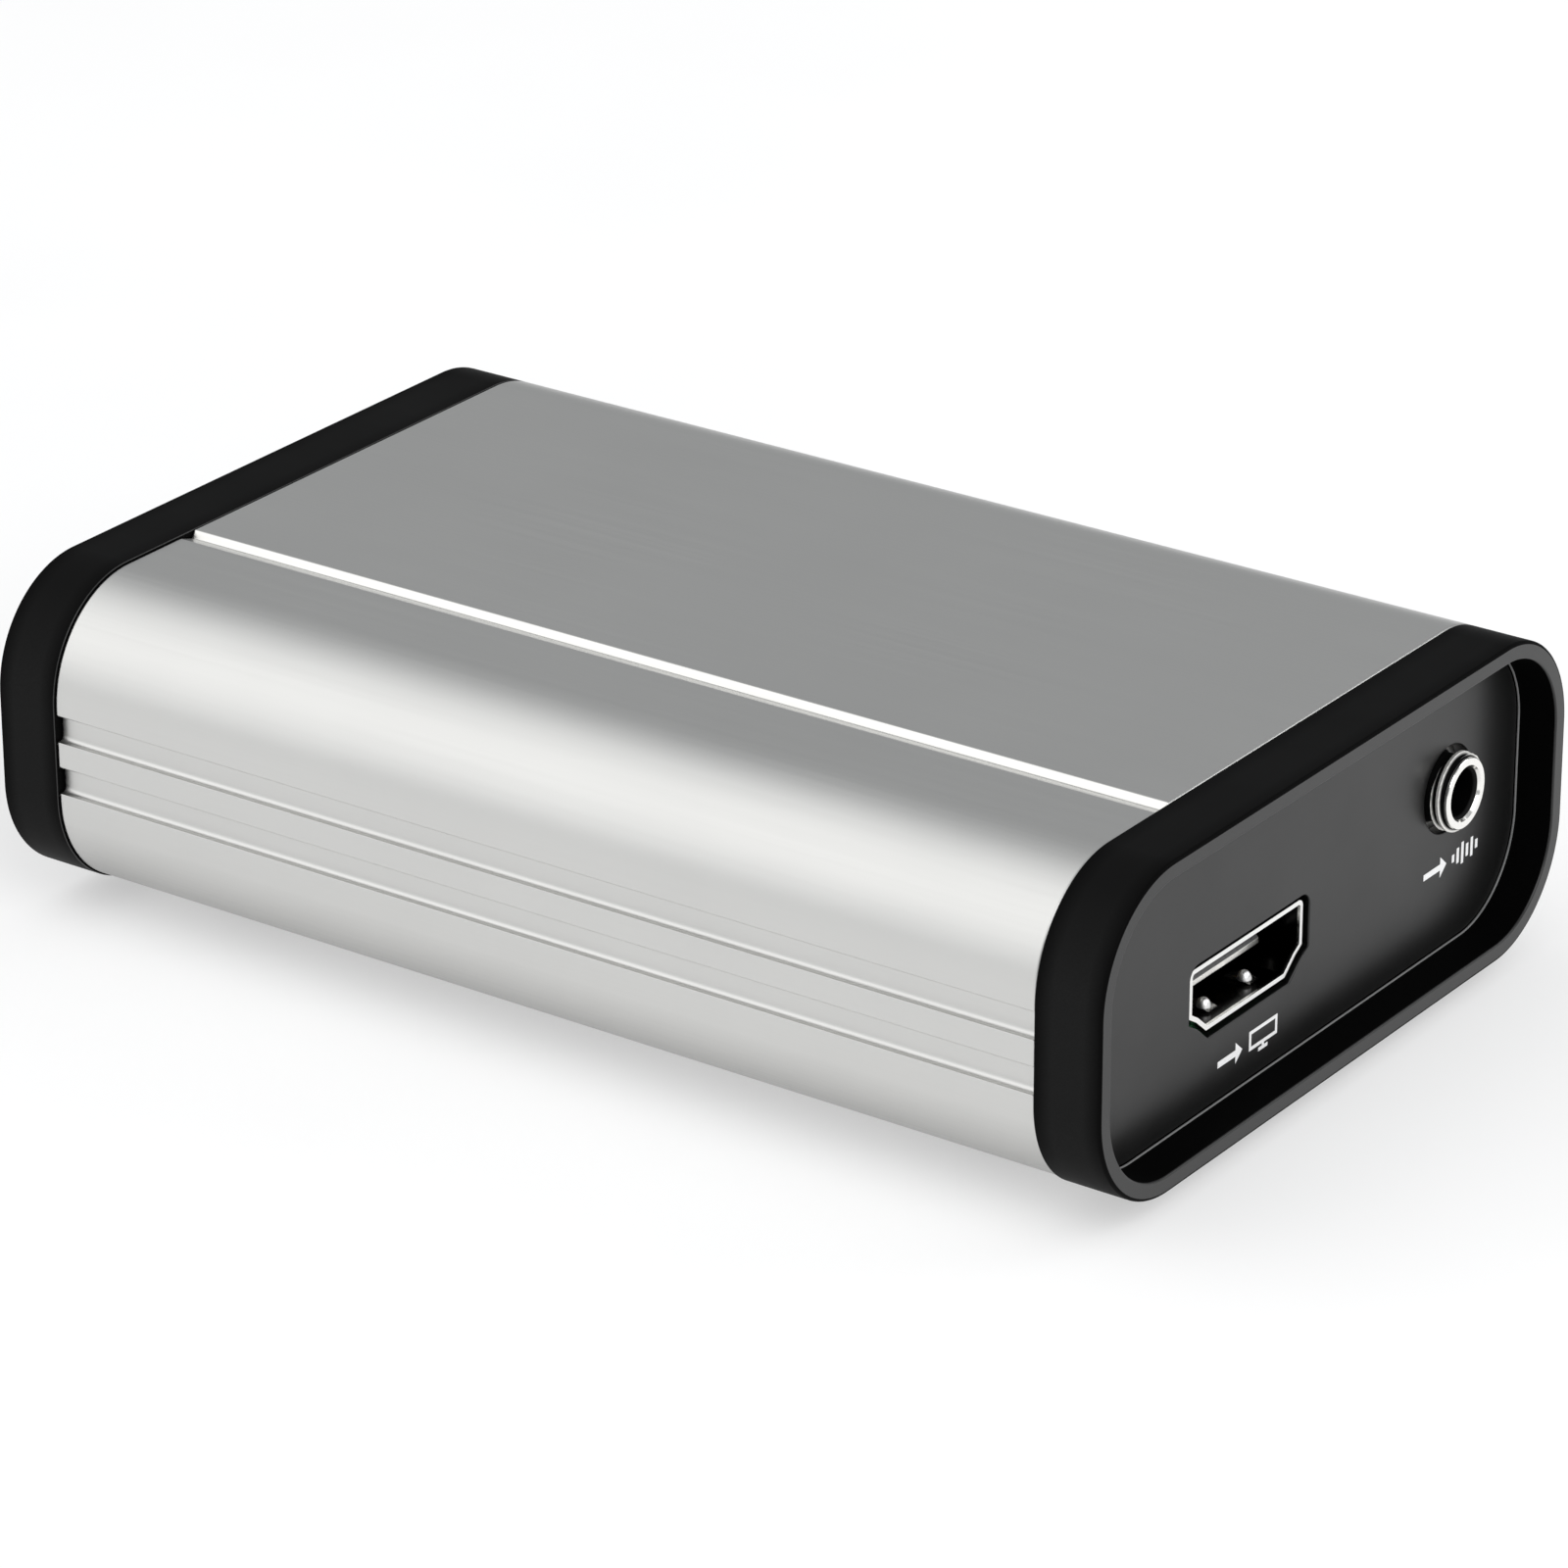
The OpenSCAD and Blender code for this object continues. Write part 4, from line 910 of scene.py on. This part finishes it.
# %% Chips with tinned leads
lead_reach = 0.9


def chip_finish(node, leads_x, leads_y):
    """Moulding compound inside the body of one chip, tinned metal on the leads outside it."""
    low, high = box_mm(node)
    finish = Finish(node + "_compound")
    grain = finish.noise(0.15, detail=2)
    body = finish.ramp(grain, 0.012, 0.024)
    margin = Vector((lead_reach * leads_x, lead_reach * leads_y, -1))
    is_body = finish.inside(low + margin, high - margin, 0.04)
    finish.feed("Base Color", finish.mix(is_body, (0.72, 0.72, 0.7), body))
    finish.feed("Metallic", finish.ramp(is_body, 1.0, 0.0, start=0.4, end=0.6))
    finish.feed("Roughness", finish.ramp(grain, 0.42, 0.55))
    finish.bump(grain, 0.006, 0.4)
    dress(node, finish)


chip_finish("receiver_chip", 1, 1)
for chip in ("codec_chip", "flash_chip", "voltage_regulator"):
    chip_finish(chip, 0, 1)
for chip in ("bridge_chip", "memory_chip", "surge_arrays"):
    chip_finish(chip, 0, 0)
print("chips dressed")

# %% [markdown]
# The other board parts are small: drawn aluminium cans, pressed ferrite, plated crystal lids and
# rows of fired ceramic chips. Each gets the grain that its making leaves behind.

# %% Capacitors, inductors, crystals and resistors
can_metal = grained("drawn_can", 0.3, (0.62, 0.63, 0.64), (0.76, 0.77, 0.78), (0.25, 0.4),
                    stretch=(1, 1, 8), Metallic=1.0)
ferrite = grained("pressed_ferrite", 0.2, (0.03, 0.03, 0.033), (0.07, 0.07, 0.074), (0.6, 0.8),
                  relief=(0.02, 0.5))
lid_metal = grained("plated_lid", 0.2, (0.6, 0.6, 0.57), (0.74, 0.73, 0.7), (0.25, 0.38),
                    stretch=(5, 1, 1), Metallic=1.0)
ceramic = grained("fired_ceramic", 1.2, (0.3, 0.2, 0.11), (0.42, 0.3, 0.17), (0.45, 0.6))
film_black = grained("resistor_film", 0.9, 0.015, 0.035, (0.3, 0.5))
board_parts = {"bulk_capacitor_1": can_metal, "bulk_capacitor_2": can_metal, "bulk_capacitor_3": can_metal,
               "power_inductor_1": ferrite, "power_inductor_2": ferrite,
               "crystal_1": lid_metal, "crystal_2": lid_metal,
               "chip_capacitors": ceramic, "chip_resistors": film_black}
for part, finish in board_parts.items():
    dress(part, finish)
print("board parts dressed:", len(board_parts))

# %% [markdown]
# Four rubber feet are stuck under the sleeve. Rubber scatters light at its surface, so it has a
# high roughness and a fine bump, and the edges of the moulded buttons are softened.

# %% Rubber feet
rubber = grained("foot_rubber", 0.25, 0.016, 0.03, (0.65, 0.85), relief=(0.02, 0.4),
                 Specular_IOR_Level=0.25)
feet = [softened(foot, 0.3, rubber, foot + "_button")
        for foot in ("foot_front_left", "foot_front_right", "foot_rear_left", "foot_rear_right")]
print("feet:", len(feet))

# %% [markdown]
# The box stands on a white table under soft light. The table glows faintly, which keeps the shadow
# round the box pale. The glow is painted light: it fades away from the middle, so that the back
# edge of the sleeve, which mirrors the far end of the table, stays grey. Right under the box there
# is no glow, a painted shadow that makes the ground below it dark.

# %% Table
def table(size):
    mesh = bpy.data.meshes.new("table")
    half = size / 2
    corners = [(-half, -half, 0), (half, -half, 0), (half, half, 0), (-half, half, 0)]
    mesh.from_pydata(corners, [], [(0, 1, 2, 3)])
    obj = bpy.data.objects.new("table", mesh)
    scene.collection.objects.link(obj)
    return obj


table_white = Finish("table_white", Roughness=0.9, Specular_IOR_Level=0.0, Emission_Strength=0.46)
glow = table_white.ramp(table_white.vector("LENGTH", table_white.place), 1.0, 0.1, start=0.3, end=0.9)
# Painted shadow: the glow is cut off right under the box.
dark_half, dark_blur = 16, 3
under_box = table_white.inside((sleeve_low.x, -dark_half, -1), (sleeve_high.x, dark_half, 1), dark_blur)
table_white.feed("Emission Color", table_white.mix(under_box, glow, (0.0, 0.0, 0.0)))
table_white.feed("Base Color", table_white.ramp(table_white.noise(60), 0.52, 0.54))
dress(table(size=6.0), table_white)
print("table set")

# %% [markdown]
# What the sleeve shows is mostly what it mirrors. The top looks towards the back left, which is dim
# and slightly cool, and the front curve sweeps over the brightest place, up at the front left.
# A softbox there leaves a hard band on such a smooth curve. A sky that brightens gradually round
# one direction gives the soft, wide band that a large silk in front of the lamp gives. Two softboxes
# on the right only fill the shadow and light the panel: no broad face of the sleeve mirrors them.

# %% Light
key_direction = Vector((-0.531, -0.533, 0.658)).normalized()
sky_levels = [(0.0, 0.42), (0.25, 0.43), (0.42, 0.46), (0.64, 0.70), (0.74, 0.98), (0.83, 1.18),
              (0.91, 1.34), (0.97, 1.45), (1.0, 1.50)]
world = bpy.data.worlds.new("studio")
world.use_nodes = True
sky = world.node_tree
toward_key = sky.nodes.new("ShaderNodeVectorMath")
toward_key.operation = "DOT_PRODUCT"
toward_key.inputs[1].default_value = key_direction
sky.links.new(sky.nodes.new("ShaderNodeTexCoord").outputs["Generated"], toward_key.inputs[0])
sky_ramp = sky.nodes.new("ShaderNodeValToRGB")
stops = sky_ramp.color_ramp.elements
brightest, coolness = sky_levels[-1][1], 0.025
while len(stops) < len(sky_levels):
    stops.new(0.5)
for stop, (position, radiance) in zip(stops, sky_levels):
    share = radiance / brightest
    cool = coolness * (1 - share)
    stop.position = position
    stop.color = (share * (1 - cool), share, share * (1 + cool), 1)
background = sky.nodes["Background"]
background.inputs["Strength"].default_value = brightest
sky.links.new(toward_key.outputs["Value"], sky_ramp.inputs["Fac"])
sky.links.new(sky_ramp.outputs["Color"], background.inputs["Color"])
scene.world = world


def softbox(name, direction, distance, width, height, radiance):
    """A rectangle of even light that faces the box from a direction, in metres."""
    data = bpy.data.lights.new(name, "AREA")
    data.shape = "RECTANGLE"
    data.size, data.size_y = width, height
    data.energy = radiance * math.pi * width * height
    lamp = bpy.data.objects.new(name, data)
    away = Vector(direction).normalized()
    lamp.location = away * distance
    lamp.rotation_mode = "QUATERNION"
    lamp.rotation_quaternion = away.to_track_quat("Z", "Y")
    scene.collection.objects.link(lamp)
    return lamp


softbox("back_right_softbox", (0.6, 0.65, 0.55), 1.4, 0.7, 0.7, 2.0)
softbox("front_right_softbox", (0.7, -0.35, 0.62), 1.3, 1.0, 1.0, 2.6)
scene.view_settings.view_transform = "Standard"
print("sky with", len(sky_levels), "steps, brightest", brightest)

# %% [markdown]
# The camera stands where the photographer's did: a long lens half a metre away, to the right of
# the front and about 24 degrees up.

# %% Camera
azimuth, elevation, roll = math.radians(35.508), math.radians(23.886), math.radians(-0.165)
camera_distance = 0.5074
back = Vector((math.sin(azimuth) * math.cos(elevation), -math.cos(azimuth) * math.cos(elevation),
               math.sin(elevation)))
right = Vector((math.cos(azimuth), math.sin(azimuth), 0))
up = back.cross(right)
right, up = (right * math.cos(roll) + up * math.sin(roll), up * math.cos(roll) - right * math.sin(roll))
camera_data = bpy.data.cameras.new("photo_camera")
camera_data.sensor_width = 36
camera_data.lens = 159.43
camera_data.shift_x, camera_data.shift_y = 0.0037, -0.0203
camera = bpy.data.objects.new("photo_camera", camera_data)
camera.matrix_world = Matrix((right, up, back)).transposed().to_4x4()
camera.location = Vector((0, 0, middle_z * MM)) + back * camera_distance
scene.collection.objects.link(camera)
scene.camera = camera
print("camera at", [round(v, 4) for v in camera.location])
